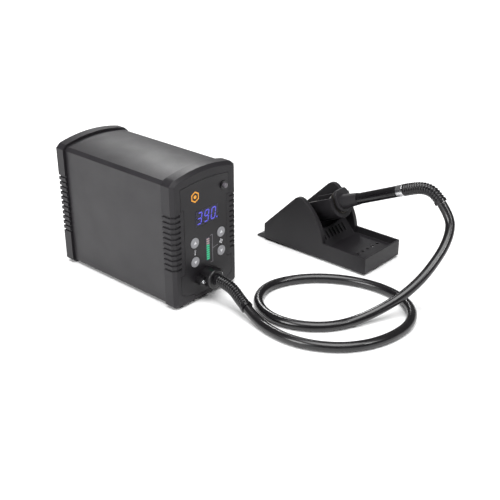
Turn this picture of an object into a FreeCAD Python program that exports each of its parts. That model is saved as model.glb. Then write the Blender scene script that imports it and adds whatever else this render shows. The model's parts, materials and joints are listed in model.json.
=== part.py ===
"""Digital hot-air soldering station: case, air hose, hot-air tool and a free-standing tool stand.

Row frame: +Z up, the table is Z = 0, the station's front panel faces -Y and the stand is on its +X side.
The origin lies on the table at the middle of the station, tool and stand taken together.
Three local frames carry the pieces: the station (middle of its front plane), the stand (middle of the
tray's front edge) and the tool (middle of the cradle's mouth, Z out along the handle).
"""

import FreeCAD, Part

import math
import os

import Sketcher

V = FreeCAD.Vector
doc = FreeCAD.newDocument("soldering_station")


# ---------------------------------------------------------------- sizes
class Size:
    """A length or angle: its number now, and the sheet expression that gives it."""

    def __init__(self, value, text):
        self.value = value
        self.text = text

    def joined(self, other, sign, value):
        return Size(value, f"({self.text} {sign} {other.text})")

    def __add__(self, other):
        other = as_size(other)
        return self.joined(other, "+", self.value + other.value)

    def __sub__(self, other):
        other = as_size(other)
        return self.joined(other, "-", self.value - other.value)

    def __mul__(self, other):
        other = as_size(other)
        return self.joined(other, "*", self.value * other.value)

    def __truediv__(self, other):
        other = as_size(other)
        return self.joined(other, "/", self.value / other.value)

    def __neg__(self):
        return Size(-self.value, f"(0 - {self.text})")

    def __radd__(self, other):
        return as_size(other) + self

    def __rsub__(self, other):
        return as_size(other) - self

    def __rmul__(self, other):
        return as_size(other) * self


def as_size(thing):
    if isinstance(thing, Size):
        return thing
    return Size(float(thing), f"({float(thing):.6g})")


sheet = doc.addObject("Spreadsheet::Sheet", "Sizes")
row_number = 0


def size(alias, value, meaning):
    """One driving dimension in the sheet, in millimetres or degrees."""
    global row_number
    row_number += 1
    sheet.set(f"A{row_number}", meaning)
    sheet.set(f"B{row_number}", f"{value}")
    sheet.setAlias(f"B{row_number}", alias)
    return Size(float(value), f"Sizes.{alias}")


# where the three groups stand
station_x = size("station_x", -91.9, "station centre line, X")
station_y = size("station_y", -30.95, "station front plane, Y")
stand_x = size("stand_x", 104.9, "stand centre plane, X")
stand_y = size("stand_y", -137.25, "tray front edge, Y")
mouth_y = size("mouth_y", -72.65, "cradle mouth centre, Y")
mouth_z = size("mouth_z", 67.5, "cradle mouth centre, Z")
tool_lean = size("tool_lean", 65.85, "tool axis, degrees away from upright")

# station case
case_width = size("case_width", 100, "case width over the bezels")
case_height = size("case_height", 158, "case height at the crown")
case_depth = size("case_depth", 195, "case depth over the bezels")
foot_drop = size("foot_drop", 1, "feet below the bezels")
side_height = size("side_height", 147.4, "height where the side ends")
shoulder_inset = size("shoulder_inset", 5.4, "shoulder, in from the side")
shoulder_height = size("shoulder_height", 152.2, "height where the crown starts")
toe_chamfer = size("toe_chamfer", 4, "bezel bottom corner chamfer")
front_depth = size("front_depth", 17, "front bezel depth")
rear_depth = size("rear_depth", 12.4, "rear bezel depth")
bezel_lip = size("bezel_lip", 3.4, "bezel stands proud of the cover by this")
bezel_face = size("bezel_face", 3.5, "front wall of the front bezel")
back_wall = size("back_wall", 3, "back wall of the rear bezel")
back_recess = size("back_recess", 1.8, "back wall set in from the rear edge")
back_border = size("back_border", 6.4, "border round the recessed back wall")
edge_bevel = size("edge_bevel", 3.7, "bevel round the front bezel")
fit_gap = size("fit_gap", 0.2, "gap between pieces that sit in each other")
move_gap = size("move_gap", 0.3, "gap beside a moving piece")
sheet_wall = size("sheet_wall", 1.2, "cover sheet thickness")
plate_wall = size("plate_wall", 1.5, "base plate and front panel thickness")

# vents
vent_pitch = size("vent_pitch", 6.32, "vent groove spacing")
vent_slot = size("vent_slot", 2.5, "vent groove width")
vent_depth = size("vent_depth", 1.5, "vent groove depth")
vent_low = size("vent_low", 48.5, "lowest vent groove, lower edge")
vent_reach = size("vent_reach", 11.6, "vent groove reach across the front")
FRONT_VENTS = 11
REAR_VENTS = 12

# front panel
panel_half = size("panel_half", 37.5, "front panel half width, upper part")
panel_waist = size("panel_waist", 33, "front panel half width beside the vents")
panel_skirt = size("panel_skirt", 40, "front panel half width, lower part")
panel_top = size("panel_top", 141.5, "front panel top corners")
panel_rise = size("panel_rise", 3.1, "front panel top edge rise at the middle")
panel_step = size("panel_step", 117, "front panel upper step height")
panel_low_step = size("panel_low_step", 40, "front panel lower step height")
panel_base = size("panel_base", 17.5, "front panel side ends here")
panel_bottom = size("panel_bottom", 8.5, "front panel bottom edge")
window_x = size("window_x", 2.15, "display window centre, X")
window_z = size("window_z", 100.8, "display window centre, Z")
window_wide = size("window_wide", 36, "display window width")
window_tall = size("window_tall", 18, "display window height")
bar_x = size("bar_x", 2.5, "bar window centre, X")
bar_z = size("bar_z", 59.5, "bar window centre, Z")
bar_wide = size("bar_wide", 6.4, "bar window width")
bar_tall = size("bar_tall", 28.6, "bar window height")
key_left = size("key_left", -18, "left key column, X")
key_right = size("key_right", 23.6, "right key column, X")
key_high = size("key_high", 73.7, "upper key row, Z")
key_low = size("key_low", 50.5, "lower key row, Z")
key_radius = size("key_radius", 6, "key radius")
key_proud = size("key_proud", 0.7, "key stands proud of the panel")
key_travel = size("key_travel", 0.5, "key travel")
power_x = size("power_x", 28.6, "power button, X")
power_z = size("power_z", 129.1, "power button, Z")
power_radius = size("power_radius", 2.8, "power button radius")
power_proud = size("power_proud", 5, "power button length outside the collar")
power_travel = size("power_travel", 2, "power button travel")
board_y = size("board_y", 9.5, "control board front face, from the panel")
board_wall = size("board_wall", 1.6, "circuit board thickness")

# hose flange
flange_z = size("flange_z", 27, "hose flange height")
ear_x = size("ear_x", 14, "flange screw, from the middle")
ear_radius = size("ear_radius", 5, "flange ear radius")
flange_plate = size("flange_plate", 3, "flange plate thickness")
ear_length = size("ear_length", 8, "flange ear length")
boss_length = size("boss_length", 15, "flange boss length")
boss_radius = size("boss_radius", 11.5, "flange boss radius")
boot_radius = size("boot_radius", 6.6, "station boot radius")
grip_boot_radius = size("grip_boot_radius", 7, "handle boot radius")
hose_radius = size("hose_radius", 5.5, "air hose radius")

# stand
stand_width = size("stand_width", 74, "stand width")
tray_length = size("tray_length", 63.8, "tray length")
tray_height = size("tray_height", 23.4, "tray rim height")
tray_wall = size("tray_wall", 2, "tray wall")
tray_floor = size("tray_floor", 14.5, "tray floor height")
cheek_wall = size("cheek_wall", 6, "cheek thickness")
stand_length = size("stand_length", 158.8, "stand length without its toe")
stand_skirt = size("stand_skirt", 2.5, "stand body starts at this height")
stand_drop = size("stand_drop", 0.8, "stand feet below the base plate")
tail_height = size("tail_height", 22.8, "cheek height at the rear")
slope_y = size("slope_y", 110, "cheek slope ends, from the tray edge")
slope_z = size("slope_z", 70.6, "cheek slope ends, height")
crest_y = size("crest_y", 93.3, "cheek crest ends, from the tray edge")
crest_z = size("crest_z", 70.8, "cheek crest ends, height")
crest_radius = size("crest_radius", 12, "cheek crest rounding")
brow_radius = size("brow_radius", 68, "cheek front curve")
web_wall = size("web_wall", 3, "slotted web thickness")
web_reach = size("web_reach", 15.5, "web runs back by this")
web_top = size("web_top", 32, "web top height")
floor_wall = size("floor_wall", 3.5, "stand floor thickness")
toe_length = size("toe_length", 14, "base plate toe")
toe_rise = size("toe_rise", 7, "toe ramp rise")
TRAY_HOLES = 6
WEB_SLOTS = 7
hole_pitch = size("hole_pitch", 10.1, "tray hole spacing")
slot_pitch = size("slot_pitch", 6.7, "web slot spacing")

# cradle
cradle_radius = size("cradle_radius", 19.7, "cradle outer radius")
cradle_length = size("cradle_length", 51, "cradle length")
cradle_rim = size("cradle_rim", 10, "cradle sides above the tool axis")
cradle_wall = size("cradle_wall", 3, "cradle wall")
mouth_radius = size("mouth_radius", 14.4, "cradle lip inner radius")
lip_length = size("lip_length", 4, "cradle lip length")
dowel_radius = size("dowel_radius", 2, "cradle dowel radius")
dowel_bite = size("dowel_bite", 3, "dowel depth in the cheek")

# tool
guard_wall = size("guard_wall", 4, "guard thickness")
guard_radius = size("guard_radius", 12.5, "guard lower radius")
guard_top = size("guard_top", 16.5, "guard top, above the axis")
grip_length = size("grip_length", 23.7, "front grip length")
grip_radius = size("grip_radius", 9.4, "front grip radius at the guard")
tube_radius = size("tube_radius", 6.9, "handle tube radius")
tube_length = size("tube_length", 60, "handle tube length")
tube_bore = size("tube_bore", 5.6, "handle tube bore radius")
ring_length = size("ring_length", 9, "handle ring length")
ring_radius = size("ring_radius", 7.2, "handle ring radius")
heater_radius = size("heater_radius", 6.4, "heater tube radius")
heater_length = size("heater_length", 46, "heater tube reach behind the mouth")
nozzle_length = size("nozzle_length", 19, "nozzle length past the heater tube")
nozzle_tip = size("nozzle_tip", 4, "nozzle tip radius")
heater_wall = size("heater_wall", 0.8, "heater tube and nozzle wall")
press_gap = size("press_gap", 0.05, "gap round the heater tube and the rocker's pins")
grip_bore_end = size("grip_bore_end", 16, "grip bore for the heater tube ends here")

# screws and small fittings
screw_hole = size("screw_hole", 1.6, "clearance hole radius for a screw")
pilot_radius = size("pilot_radius", 1.2, "board screw radius")
post_radius = size("post_radius", 3.2, "board post radius")
shank_radius = size("shank_radius", 1.4, "flange screw radius")
collar_ring = size("collar_ring", 2.2, "power collar wall with its gap to the button")
spigot_radius = size("spigot_radius", 5.6, "flange spigot radius")
spigot_gap = size("spigot_gap", 0.4, "gap round the flange spigot")
spigot_length = size("spigot_length", 12.5, "flange spigot reach behind the panel")
air_bore = size("air_bore", 3, "air passage radius")
stop_wall = size("stop_wall", 1, "key collar thickness")
button_stop_wall = size("button_stop_wall", 1.2, "power button collar thickness")

# rear fittings
inlet_wide = size("inlet_wide", 28, "mains inlet opening width")
inlet_tall = size("inlet_tall", 21, "mains inlet opening height")
inlet_depth = size("inlet_depth", 19, "mains inlet reach into the case")
fitting_rim = size("fitting_rim", 3, "inlet and switch flange, wider than the opening")
fitting_lip = size("fitting_lip", 1.2, "inlet and switch flange thickness")
fitting_wall = size("fitting_wall", 2, "inlet shroud wall")
switch_wide = size("switch_wide", 21, "mains switch opening width")
switch_tall = size("switch_tall", 15, "mains switch opening height")
grille_slot = size("grille_slot", 3, "grille slot height")
grille_wide = size("grille_wide", 56, "grille slot width")
grille_low = size("grille_low", 78, "lowest grille slot, height")
grille_pitch = size("grille_pitch", 6.5, "grille slot spacing")

# inside the case
pump_y = size("pump_y", 48, "pump head front, from the panel")
pump_head = size("pump_head", 14, "pump head length")
pump_length = size("pump_length", 38, "pump drum length")
pump_radius = size("pump_radius", 19, "pump drum radius")
coil_gap = size("coil_gap", 12, "space between the pump and the transformer")
rear_space = size("rear_space", 8.2, "space between the transformer and the inlet")
board_z = size("board_z", 96, "main board underside, height")
board_start = size("board_start", 30, "main board front edge, from the panel")
board_wide = size("board_wide", 80, "main board width")
board_rear_gap = size("board_rear_gap", 23.2, "main board rear edge, from the back face")
pillar_inset = size("pillar_inset", 6, "pillar centre, in from the main board's front and rear edge")
pillar_radius = size("pillar_radius", 3, "pillar radius")
doc.recompute()

station = (station_x, station_y, as_size(0))
stand = (stand_x, stand_y, as_size(0))
tool = (stand_x, mouth_y, mouth_z)


# ---------------------------------------------------------------- helpers
def bind(thing, **texts):
    """Tie properties of an object to size expressions."""
    for name, cell in texts.items():
        thing.setExpression(name.replace("__", "."), as_size(cell).text)


def place(thing, at, lean=None, about="X"):
    """Place a piece at a point bound to the sheet; lean turns it about X or Z, in degrees."""
    axis = V(1, 0, 0) if about == "X" else V(0, 0, 1)
    thing.Placement = FreeCAD.Placement(V(0, 0, 0), FreeCAD.Rotation(axis, 1 if lean else 0))
    bind(thing, Placement__Base__x=at[0], Placement__Base__y=at[1], Placement__Base__z=at[2])
    if lean:
        bind(thing, Placement__Rotation__Angle=lean)


def body(name, frame):
    made = doc.addObject("PartDesign::Body", name)
    made.Label = name
    place(made, frame, tool_lean if frame is tool else None)
    return made


def add_circle(drawing, x, y, radius):
    x, y, radius = as_size(x), as_size(y), as_size(radius)
    index = drawing.addGeometry(Part.Circle(V(x.value, y.value, 0), V(0, 0, 1), radius.value), False)
    for kind, cell in (("DistanceX", x), ("DistanceY", y)):
        tied = drawing.addConstraint(Sketcher.Constraint(kind, -1, 1, index, 3, cell.value))
        drawing.setExpression(f"Constraints[{tied}]", cell.text)
    tied = drawing.addConstraint(Sketcher.Constraint("Radius", index, radius.value))
    drawing.setExpression(f"Constraints[{tied}]", radius.text)


def arc_between(start, end, radius):
    """The short counter-clockwise arc from start to end."""
    chord = end - start
    middle = (start + end) * 0.5
    outward = V(chord.y, -chord.x, 0).normalize()
    rise = radius - math.sqrt(max(radius**2 - (chord.Length / 2) ** 2, 0))
    return Part.Arc(start, middle + outward * rise, end)


def add_outline(drawing, corners):
    """A closed outline, counter-clockwise. A corner with a third value starts an arc of that radius."""
    corners = [tuple(as_size(part) for part in corner) for corner in corners]
    first = drawing.GeometryCount
    points = [V(corner[0].value, corner[1].value, 0) for corner in corners]
    for number, corner in enumerate(corners):
        start, end = points[number], points[(number + 1) % len(points)]
        if len(corner) == 3:
            drawing.addGeometry(arc_between(start, end, corner[2].value), False)
        else:
            drawing.addGeometry(Part.LineSegment(start, end), False)
    for number, corner in enumerate(corners):
        line = first + number
        following = first + (number + 1) % len(corners)
        drawing.addConstraint(Sketcher.Constraint("Coincident", line, 2, following, 1))
        for kind, cell in (("DistanceX", corner[0]), ("DistanceY", corner[1])):
            tied = drawing.addConstraint(Sketcher.Constraint(kind, -1, 1, line, 1, cell.value))
            drawing.setExpression(f"Constraints[{tied}]", cell.text)
        if len(corner) == 3:
            tied = drawing.addConstraint(Sketcher.Constraint("Radius", line, corner[2].value))
            drawing.setExpression(f"Constraints[{tied}]", corner[2].text)


def rectangle(x, y, wide, tall):
    """Corners of a rectangle about its middle."""
    x, y, wide, tall = as_size(x), as_size(y), as_size(wide), as_size(tall)
    return [
        (x - wide / 2, y - tall / 2),
        (x + wide / 2, y - tall / 2),
        (x + wide / 2, y + tall / 2),
        (x - wide / 2, y + tall / 2),
    ]


def sketch(owner, plane, loops, level=0):
    """A sketch on one of the body's origin planes, level mm along +X, +Y or +Z from it."""
    made = owner.newObject("Sketcher::SketchObject", f"{owner.Name}_outline")
    face = [part for part in owner.Origin.OriginFeatures if part.Role == f"{plane}_Plane"][0]
    made.AttachmentSupport = [(face, "")]
    made.MapMode = "FlatFace"
    level = as_size(level)
    made.setExpression("AttachmentOffset.Base.z", (-level if plane == "XZ" else level).text)
    for loop in loops:
        if loop[0] == "circle":
            add_circle(made, *loop[1:])
        else:
            add_outline(made, loop)
    return made


def pad(owner, drawing, length, both_ways=False):
    """Material from the sketch along +X, +Y or +Z, or half each way."""
    made = owner.newObject("PartDesign::Pad", f"{owner.Name}_pad")
    made.Profile = drawing
    bind(made, Length=length)
    on_xz = drawing.AttachmentSupport[0][0].Role == "XZ_Plane"
    made.Reversed = on_xz and not both_ways
    made.Midplane = both_ways
    doc.recompute()
    return made


def pocket(owner, drawing, length, both_ways=False):
    """A cut from the sketch along +X, +Y or +Z, or half each way. It has to remove material."""
    before = owner.Shape.Volume
    made = owner.newObject("PartDesign::Pocket", f"{owner.Name}_pocket")
    made.Profile = drawing
    bind(made, Length=length)
    on_xz = drawing.AttachmentSupport[0][0].Role == "XZ_Plane"
    made.Reversed = not on_xz and not both_ways
    made.Midplane = both_ways
    doc.recompute()
    if made.Shape.isNull() or not made.Shape.Volume < before - 1e-3:
        raise RuntimeError(f"{owner.Label}: a pocket cuts nothing")
    return made


def repeat(owner, feature, direction_axis, pitch, count):
    """Repeat the last feature count times, pitch apart along one of the body's axes."""
    made = owner.newObject("PartDesign::LinearPattern", f"{owner.Name}_row")
    made.Originals = [feature]
    axis = [part for part in owner.Origin.OriginFeatures if part.Role == f"{direction_axis}_Axis"][0]
    made.Direction = (axis, [""])
    bind(made, Length=pitch * (count - 1))
    made.Occurrences = count
    owner.Tip = made
    doc.recompute()
    return made


def turn(owner, corners):
    """A solid of revolution about the body's Z axis; corners are (radius, height) pairs."""
    drawing = sketch(owner, "XZ", [corners])
    made = owner.newObject("PartDesign::Revolution", f"{owner.Name}_turned")
    made.Profile = drawing
    axis = [part for part in owner.Origin.OriginFeatures if part.Role == "Z_Axis"][0]
    made.ReferenceAxis = (axis, [""])
    made.Angle = 360
    doc.recompute()
    return made


def offset_from(frame, x, y, z):
    return (frame[0] + x, frame[1] + y, frame[2] + z)


def box(name, frame, x, y, z, wide, deep, tall):
    """A block: x is its middle, y its front and z its bottom, in the frame."""
    made = doc.addObject("Part::Box", name)
    made.Label = name
    bind(made, Length=wide, Width=deep, Height=tall)
    place(made, offset_from(frame, as_size(x) - as_size(wide) / 2, y, z))
    return made


AXES = {"X": V(0, 1, 0), "Y": V(-1, 0, 0), "Z": V(0, 0, 1)}


def rod(name, frame, x, y, z, radius, length, along="Y"):
    """A cylinder from a point in the frame, along +X, +Y or +Z."""
    made = doc.addObject("Part::Cylinder", name)
    made.Label = name
    bind(made, Radius=radius, Height=length)
    place(made, offset_from(frame, x, y, z))
    if along != "Z":
        base = made.Placement.Base
        made.Placement = FreeCAD.Placement(base, FreeCAD.Rotation(AXES[along], 90))
        bind(
            made,
            Placement__Base__x=frame[0] + x,
            Placement__Base__y=frame[1] + y,
            Placement__Base__z=frame[2] + z,
        )
    return made


def fuse(name, pieces):
    made = doc.addObject("Part::MultiFuse", name)
    made.Label = name
    made.Shapes = pieces
    made.Refine = True
    return made


def cut(name, base, tool_piece):
    made = doc.addObject("Part::Cut", name)
    made.Label = name
    made.Base = base
    made.Tool = tool_piece
    return made


def group(name, pieces):
    """Identical pieces that share one node, as separate solids."""
    made = doc.addObject("Part::Compound", name)
    made.Label = name
    made.Links = pieces
    return made


nodes = []


def keep(thing):
    nodes.append(thing)
    return thing


def edges_where(shape, test):
    """Names of the edges whose two ends and middle all pass the test."""
    names = []
    for number, edge in enumerate(shape.Edges, start=1):
        middle = edge.valueAt((edge.FirstParameter + edge.LastParameter) / 2)
        spots = [vertex.Point for vertex in edge.Vertexes] + [middle]
        if all(test(spot) for spot in spots):
            names.append(f"Edge{number}")
    return names


def chamfer(owner, feature, test, amount):
    made = owner.newObject("PartDesign::Chamfer", f"{owner.Name}_chamfer")
    made.Base = (feature, edges_where(feature.Shape, test))
    bind(made, Size=amount)
    doc.recompute()
    return made


def fillet(owner, feature, test, amount):
    made = owner.newObject("PartDesign::Fillet", f"{owner.Name}_fillet")
    made.Base = (feature, edges_where(feature.Shape, test))
    bind(made, Radius=amount)
    doc.recompute()
    return made


# ---------------------------------------------------------------- case outlines
# How far a corner of the arched outline moves for each mm that the outline shrinks.
SIDE_MITRE = 0.56
SHOULDER_MITRE_X = 0.41
SHOULDER_MITRE_Z = 0.71
TOE_MITRE = 0.586


def case_outline(inset, bottom=None):
    """The arched, chamfered case outline, shrunk by inset on every side."""
    inset = as_size(inset)
    half = case_width / 2 - inset
    low = foot_drop + inset if bottom is None else as_size(bottom)
    toe = toe_chamfer - inset * TOE_MITRE
    side = side_height - inset * SIDE_MITRE
    shoulder_x = case_width / 2 - shoulder_inset - inset * SHOULDER_MITRE_X
    shoulder_z = shoulder_height - inset * SHOULDER_MITRE_Z
    rise = case_height - inset - shoulder_z
    crown = (shoulder_x * shoulder_x + rise * rise) / (2 * rise)
    if bottom is None:
        foot = [(-half, low + toe), (-half + toe, low), (half - toe, low), (half, low + toe)]
    else:
        foot = [(-half, low), (half, low)]
    return foot + [(half, side), (shoulder_x, shoulder_z, crown), (-shoulder_x, shoulder_z), (-half, side)]


def vent_loops(front):
    """Two L-shaped grooves, one at each side, seen from above, round the outer corner of a bezel."""
    half = case_width / 2
    out = half + 1
    if front:
        near, far = as_size(-1), front_depth + 1
        land = as_size(0) + vent_depth
        corner_y = edge_bevel + vent_depth * SIDE_MITRE
        corner_x = half - edge_bevel - vent_depth * SIDE_MITRE
        right = [
            (half - vent_reach, near),
            (out, near),
            (out, far),
            (half - vent_depth, far),
            (half - vent_depth, corner_y),
            (corner_x, land),
            (half - vent_reach, land),
        ]
    else:
        near, far = case_depth - rear_depth - 1, case_depth + 1
        land = case_depth - vent_depth
        right = [
            (half - vent_reach / 2, land),
            (half - vent_depth, land),
            (half - vent_depth, near),
            (out, near),
            (out, far),
            (half - vent_reach / 2, far),
        ]
    left = [(-x, y) for x, y in reversed(right)]
    return [right, left]


# ---------------------------------------------------------------- station case
KEYS = {
    "heat_up_key": (key_left, key_high),
    "heat_down_key": (key_left, key_low),
    "air_up_key": (key_right, key_high),
    "air_down_key": (key_right, key_low),
}
BOARD_SCREWS = [(-30, 44), (34, 44), (-30, 110), (34, 110)]


def panel_outline(gap):
    """The inlaid panel: arched top, narrow waist between the vents, a bottom edge that steps down."""
    gap = as_size(gap)
    top_half = panel_half + gap
    top = panel_top + gap
    rise = panel_rise
    arch = (top_half * top_half + rise * rise) / (2 * rise)
    waist = panel_waist + gap
    skirt = panel_skirt + gap
    side = [
        (skirt - 9, panel_bottom + 4.5 - gap),
        (skirt, panel_base - gap),
        (skirt, panel_low_step + gap),
        (waist, panel_low_step + gap),
        (waist, panel_step - gap),
        (top_half, panel_step - gap),
    ]
    bottom = [
        (-19 - gap, panel_bottom - gap),
        (19 + gap, panel_bottom - gap),
        (21 + gap, panel_bottom + 3 - gap),
    ]
    mirrored = [(-x, z) for x, z in reversed(side)]
    step = [(-21 - gap, panel_bottom + 3 - gap)]
    return bottom + side + [(top_half, top, arch), (-top_half, top)] + mirrored + step


def front_bezel():
    """Moulded front cap: bevelled arched outline, panel recess, openings, side vents, board posts."""
    made = body("front_bezel", station)
    block = pad(made, sketch(made, "XZ", [case_outline(0)]), front_depth)
    chamfer(made, block, lambda p: abs(p.y) < 1e-6, edge_bevel)
    hollow = case_outline(bezel_lip - fit_gap, foot_drop + bezel_lip - fit_gap)
    pocket(made, sketch(made, "XZ", [hollow], bezel_face), front_depth)
    pocket(made, sketch(made, "XZ", [panel_outline(fit_gap)], -1), plate_wall + 1 + fit_gap)
    holes = [
        rectangle(window_x, window_z, window_wide + 2 * fit_gap, window_tall + 2 * fit_gap),
        rectangle(bar_x, bar_z, bar_wide + 2 * fit_gap, bar_tall + 2 * fit_gap),
        ("circle", power_x, power_z, power_radius + collar_ring + fit_gap),
        ("circle", 0, flange_z, spigot_radius + spigot_gap),
    ]
    for x, z in KEYS.values():
        holes.append(("circle", x, z, key_radius + move_gap))
    pocket(made, sketch(made, "XZ", holes, -1), bezel_face + 2)
    screws = [("circle", side * ear_x, flange_z, shank_radius) for side in (-1, 1)]
    pocket(made, sketch(made, "XZ", screws, -1), bezel_face + 2)
    posts = [("circle", x, z, post_radius) for x, z in BOARD_SCREWS]
    pad(made, sketch(made, "XZ", posts, bezel_face), board_y - bezel_face)
    pilots = [("circle", x, z, pilot_radius) for x, z in BOARD_SCREWS]
    pocket(made, sketch(made, "XZ", pilots, bezel_face + 1), board_y)
    grooves = pocket(made, sketch(made, "XY", vent_loops(True), vent_low), vent_slot)
    repeat(made, grooves, "Z", vent_pitch, FRONT_VENTS)
    return made


COVER_SCREWS = [(-37, 14), (37, 14), (-36, 140), (36, 140)]
back_face = case_depth - back_recess
INLET_X = as_size(-18)
INLET_Z = as_size(40)
SWITCH_X = as_size(18)
FUSE_DROP = as_size(19)
FUSE_TALL = as_size(11)
GRILLE_SLOTS = 8


def rear_bezel():
    """Moulded rear cap: side vents, an outlet grille, openings for the mains inlet, fuse and switch."""
    made = body("rear_bezel", station)
    start = case_depth - rear_depth
    pad(made, sketch(made, "XZ", [case_outline(0)], start), rear_depth)
    hollow = case_outline(bezel_lip - fit_gap, foot_drop + bezel_lip - fit_gap)
    pocket(made, sketch(made, "XZ", [hollow], start - 1), back_face - back_wall - start + 1)
    pocket(made, sketch(made, "XZ", [case_outline(back_border)], back_face), back_recess + 1)
    holes = [
        rectangle(INLET_X, INLET_Z, inlet_wide, inlet_tall),
        rectangle(INLET_X, INLET_Z - FUSE_DROP, inlet_wide - 2 * fitting_wall, FUSE_TALL),
        rectangle(SWITCH_X, INLET_Z, switch_wide, switch_tall),
    ]
    pocket(made, sketch(made, "XZ", holes, back_face - back_wall - 1), back_wall + 2)
    slot = sketch(made, "XZ", [rectangle(0, grille_low, grille_wide, grille_slot)], back_face - back_wall - 1)
    slots = pocket(made, slot, back_wall + 2)
    repeat(made, slots, "Z", grille_pitch, GRILLE_SLOTS)
    grooves = pocket(made, sketch(made, "XY", vent_loops(False), vent_low - vent_pitch), vent_slot)
    repeat(made, grooves, "Z", vent_pitch, REAR_VENTS)
    screws = [("circle", x, z, screw_hole) for x, z in COVER_SCREWS]
    pocket(made, sketch(made, "XZ", screws, back_face - back_wall - 1), back_wall + 2)
    return made


def outer_cover():
    """Folded sheet wrap: two sides and the arched top in one, open below."""
    made = body("outer_cover", station)
    length = back_face - back_wall - bezel_face - 2 * fit_gap
    skirt = foot_drop + bezel_lip
    wrap = sketch(made, "XZ", [case_outline(bezel_lip, skirt)], bezel_face + fit_gap)
    pad(made, wrap, length)
    inside = sketch(made, "XZ", [case_outline(bezel_lip + sheet_wall, skirt - 1)], bezel_face)
    pocket(made, inside, length + 1)
    return made


def base_plate():
    """Flat steel floor between the cover's sides."""
    made = body("base_plate", station)
    half = case_width / 2 - bezel_lip - sheet_wall - fit_gap
    front = bezel_face + fit_gap
    rear = back_face - back_wall - fit_gap
    outline = [(-half, front), (half, front), (half, rear), (-half, rear)]
    pad(made, sketch(made, "XY", [outline], foot_drop + bezel_lip), plate_wall)
    return made


def rubber_feet():
    """Four round pads stuck under the bezels."""
    spots = [(-38, front_depth / 2), (38, front_depth / 2)]
    spots += [(x, case_depth - rear_depth / 2) for x, y in spots]
    feet = [rod(f"foot_pad_{n}", station, x, y, 0, 5, foot_drop, "Z") for n, (x, y) in enumerate(spots)]
    return group("rubber_feet", feet)


def front_panel():
    """Inlaid plate with the openings for windows, keys, button and flange."""
    made = body("front_panel", station)
    pad(made, sketch(made, "XZ", [panel_outline(0)]), plate_wall)
    holes = [
        rectangle(window_x, window_z, window_wide + 2 * fit_gap, window_tall + 2 * fit_gap),
        rectangle(bar_x, bar_z, bar_wide + 2 * fit_gap, bar_tall + 2 * fit_gap),
        ("circle", power_x, power_z, power_radius + collar_ring + fit_gap),
        ("circle", 0, flange_z, spigot_radius + spigot_gap),
    ]
    for x, z in KEYS.values():
        holes.append(("circle", x, z, key_radius + move_gap))
    holes += [("circle", side * ear_x, flange_z, screw_hole) for side in (-1, 1)]
    pocket(made, sketch(made, "XZ", holes, -1), plate_wall + 2)
    return made


def window(name, x, z, wide, tall):
    """A clear lens, flush with the panel."""
    return box(name, station, x, 0, z - tall / 2, wide, plate_wall + 1, tall)


def key(name, x, z):
    """A round key: cap through the panel and a collar behind the wall that stops it coming out."""
    made = body(name, station)
    cap = sketch(made, "XZ", [("circle", x, z, key_radius)], -key_proud)
    block = pad(made, cap, key_proud + bezel_face + move_gap)
    fillet(made, block, lambda p: abs(p.y + key_proud.value) < 1e-6, 0.4)
    collar = sketch(made, "XZ", [("circle", x, z, key_radius + 1.2)], bezel_face + move_gap)
    pad(made, collar, stop_wall)
    return made


def power_collar():
    """The button's dark round guide, a short way proud of the panel."""
    made = body("power_collar", station)
    ring = sketch(made, "XZ", [("circle", power_x, power_z, power_radius + collar_ring)], -1)
    pad(made, ring, bezel_face + 1)
    hole = sketch(made, "XZ", [("circle", power_x, power_z, power_radius + 0.1)], -2)
    pocket(made, hole, bezel_face + 3)
    return made


def power_button():
    """A plunger with a rounded end and a collar behind the wall."""
    made = body("power_button", station)
    stem = sketch(made, "XZ", [("circle", power_x, power_z, power_radius)], -power_proud)
    block = pad(made, stem, power_proud + bezel_face + move_gap)
    fillet(made, block, lambda p: abs(p.y + power_proud.value) < 1e-6, 0.9)
    stop = sketch(made, "XZ", [("circle", power_x, power_z, power_radius + 1)], bezel_face + move_gap)
    pad(made, stop, button_stop_wall)
    return made


def display_module():
    """Three-digit block behind its window, on the control board."""
    front = plate_wall + 1 + fit_gap
    size_x = window_wide - 1
    size_z = window_tall - 1
    low = window_z - size_z / 2
    return box("display_module", station, window_x, front, low, size_x, board_y - front, size_z)


def bar_module():
    """Bar-graph block behind its window, on the control board."""
    front = plate_wall + 1 + fit_gap
    tall = bar_tall - 1
    return box("bar_module", station, bar_x, front, bar_z - tall / 2, bar_wide - 1, board_y - front, tall)


def control_board():
    made = body("control_board", station)
    outline = [(-34, 40), (38, 40), (38, 136), (-34, 136)]
    pad(made, sketch(made, "XZ", [outline], board_y), board_wall)
    holes = [("circle", x, z, screw_hole) for x, z in BOARD_SCREWS]
    pocket(made, sketch(made, "XZ", holes, board_y - 1), board_wall + 2)
    return made


def board_screws():
    """Four pan-head screws through the control board into the bezel posts."""
    screws = []
    for number, (x, z) in enumerate(BOARD_SCREWS):
        shank = rod(f"board_shank_{number}", station, x, board_y - 4, z, pilot_radius, 4 + board_wall)
        head = rod(f"board_head_{number}", station, x, board_y + board_wall, z, 2.8, 1.8)
        screws.append(fuse(f"board_screw_{number}", [shank, head]))
    return group("board_screws", screws)


def tact_switches():
    """Four board switches, each under a key."""
    switches = []
    rear = bezel_face + move_gap + stop_wall
    tip = rear + key_travel + move_gap
    shell = tip + 0.6
    for number, (x, z) in enumerate(KEYS.values()):
        base = box(f"tact_base_{number}", station, x, shell, z - 3, 6, board_y - shell, 6)
        plunger = rod(f"tact_tip_{number}", station, x, tip, z, 1.7, shell - tip)
        switches.append(fuse(f"tact_switch_{number}", [base, plunger]))
    return group("tact_switches", switches)


def power_switch():
    """Push switch behind the power button, on the control board."""
    rear = bezel_face + move_gap + button_stop_wall
    front = rear + power_travel + move_gap
    return box("power_switch", station, power_x, front, power_z - 3.5, 7, board_y - front, 7)


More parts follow.
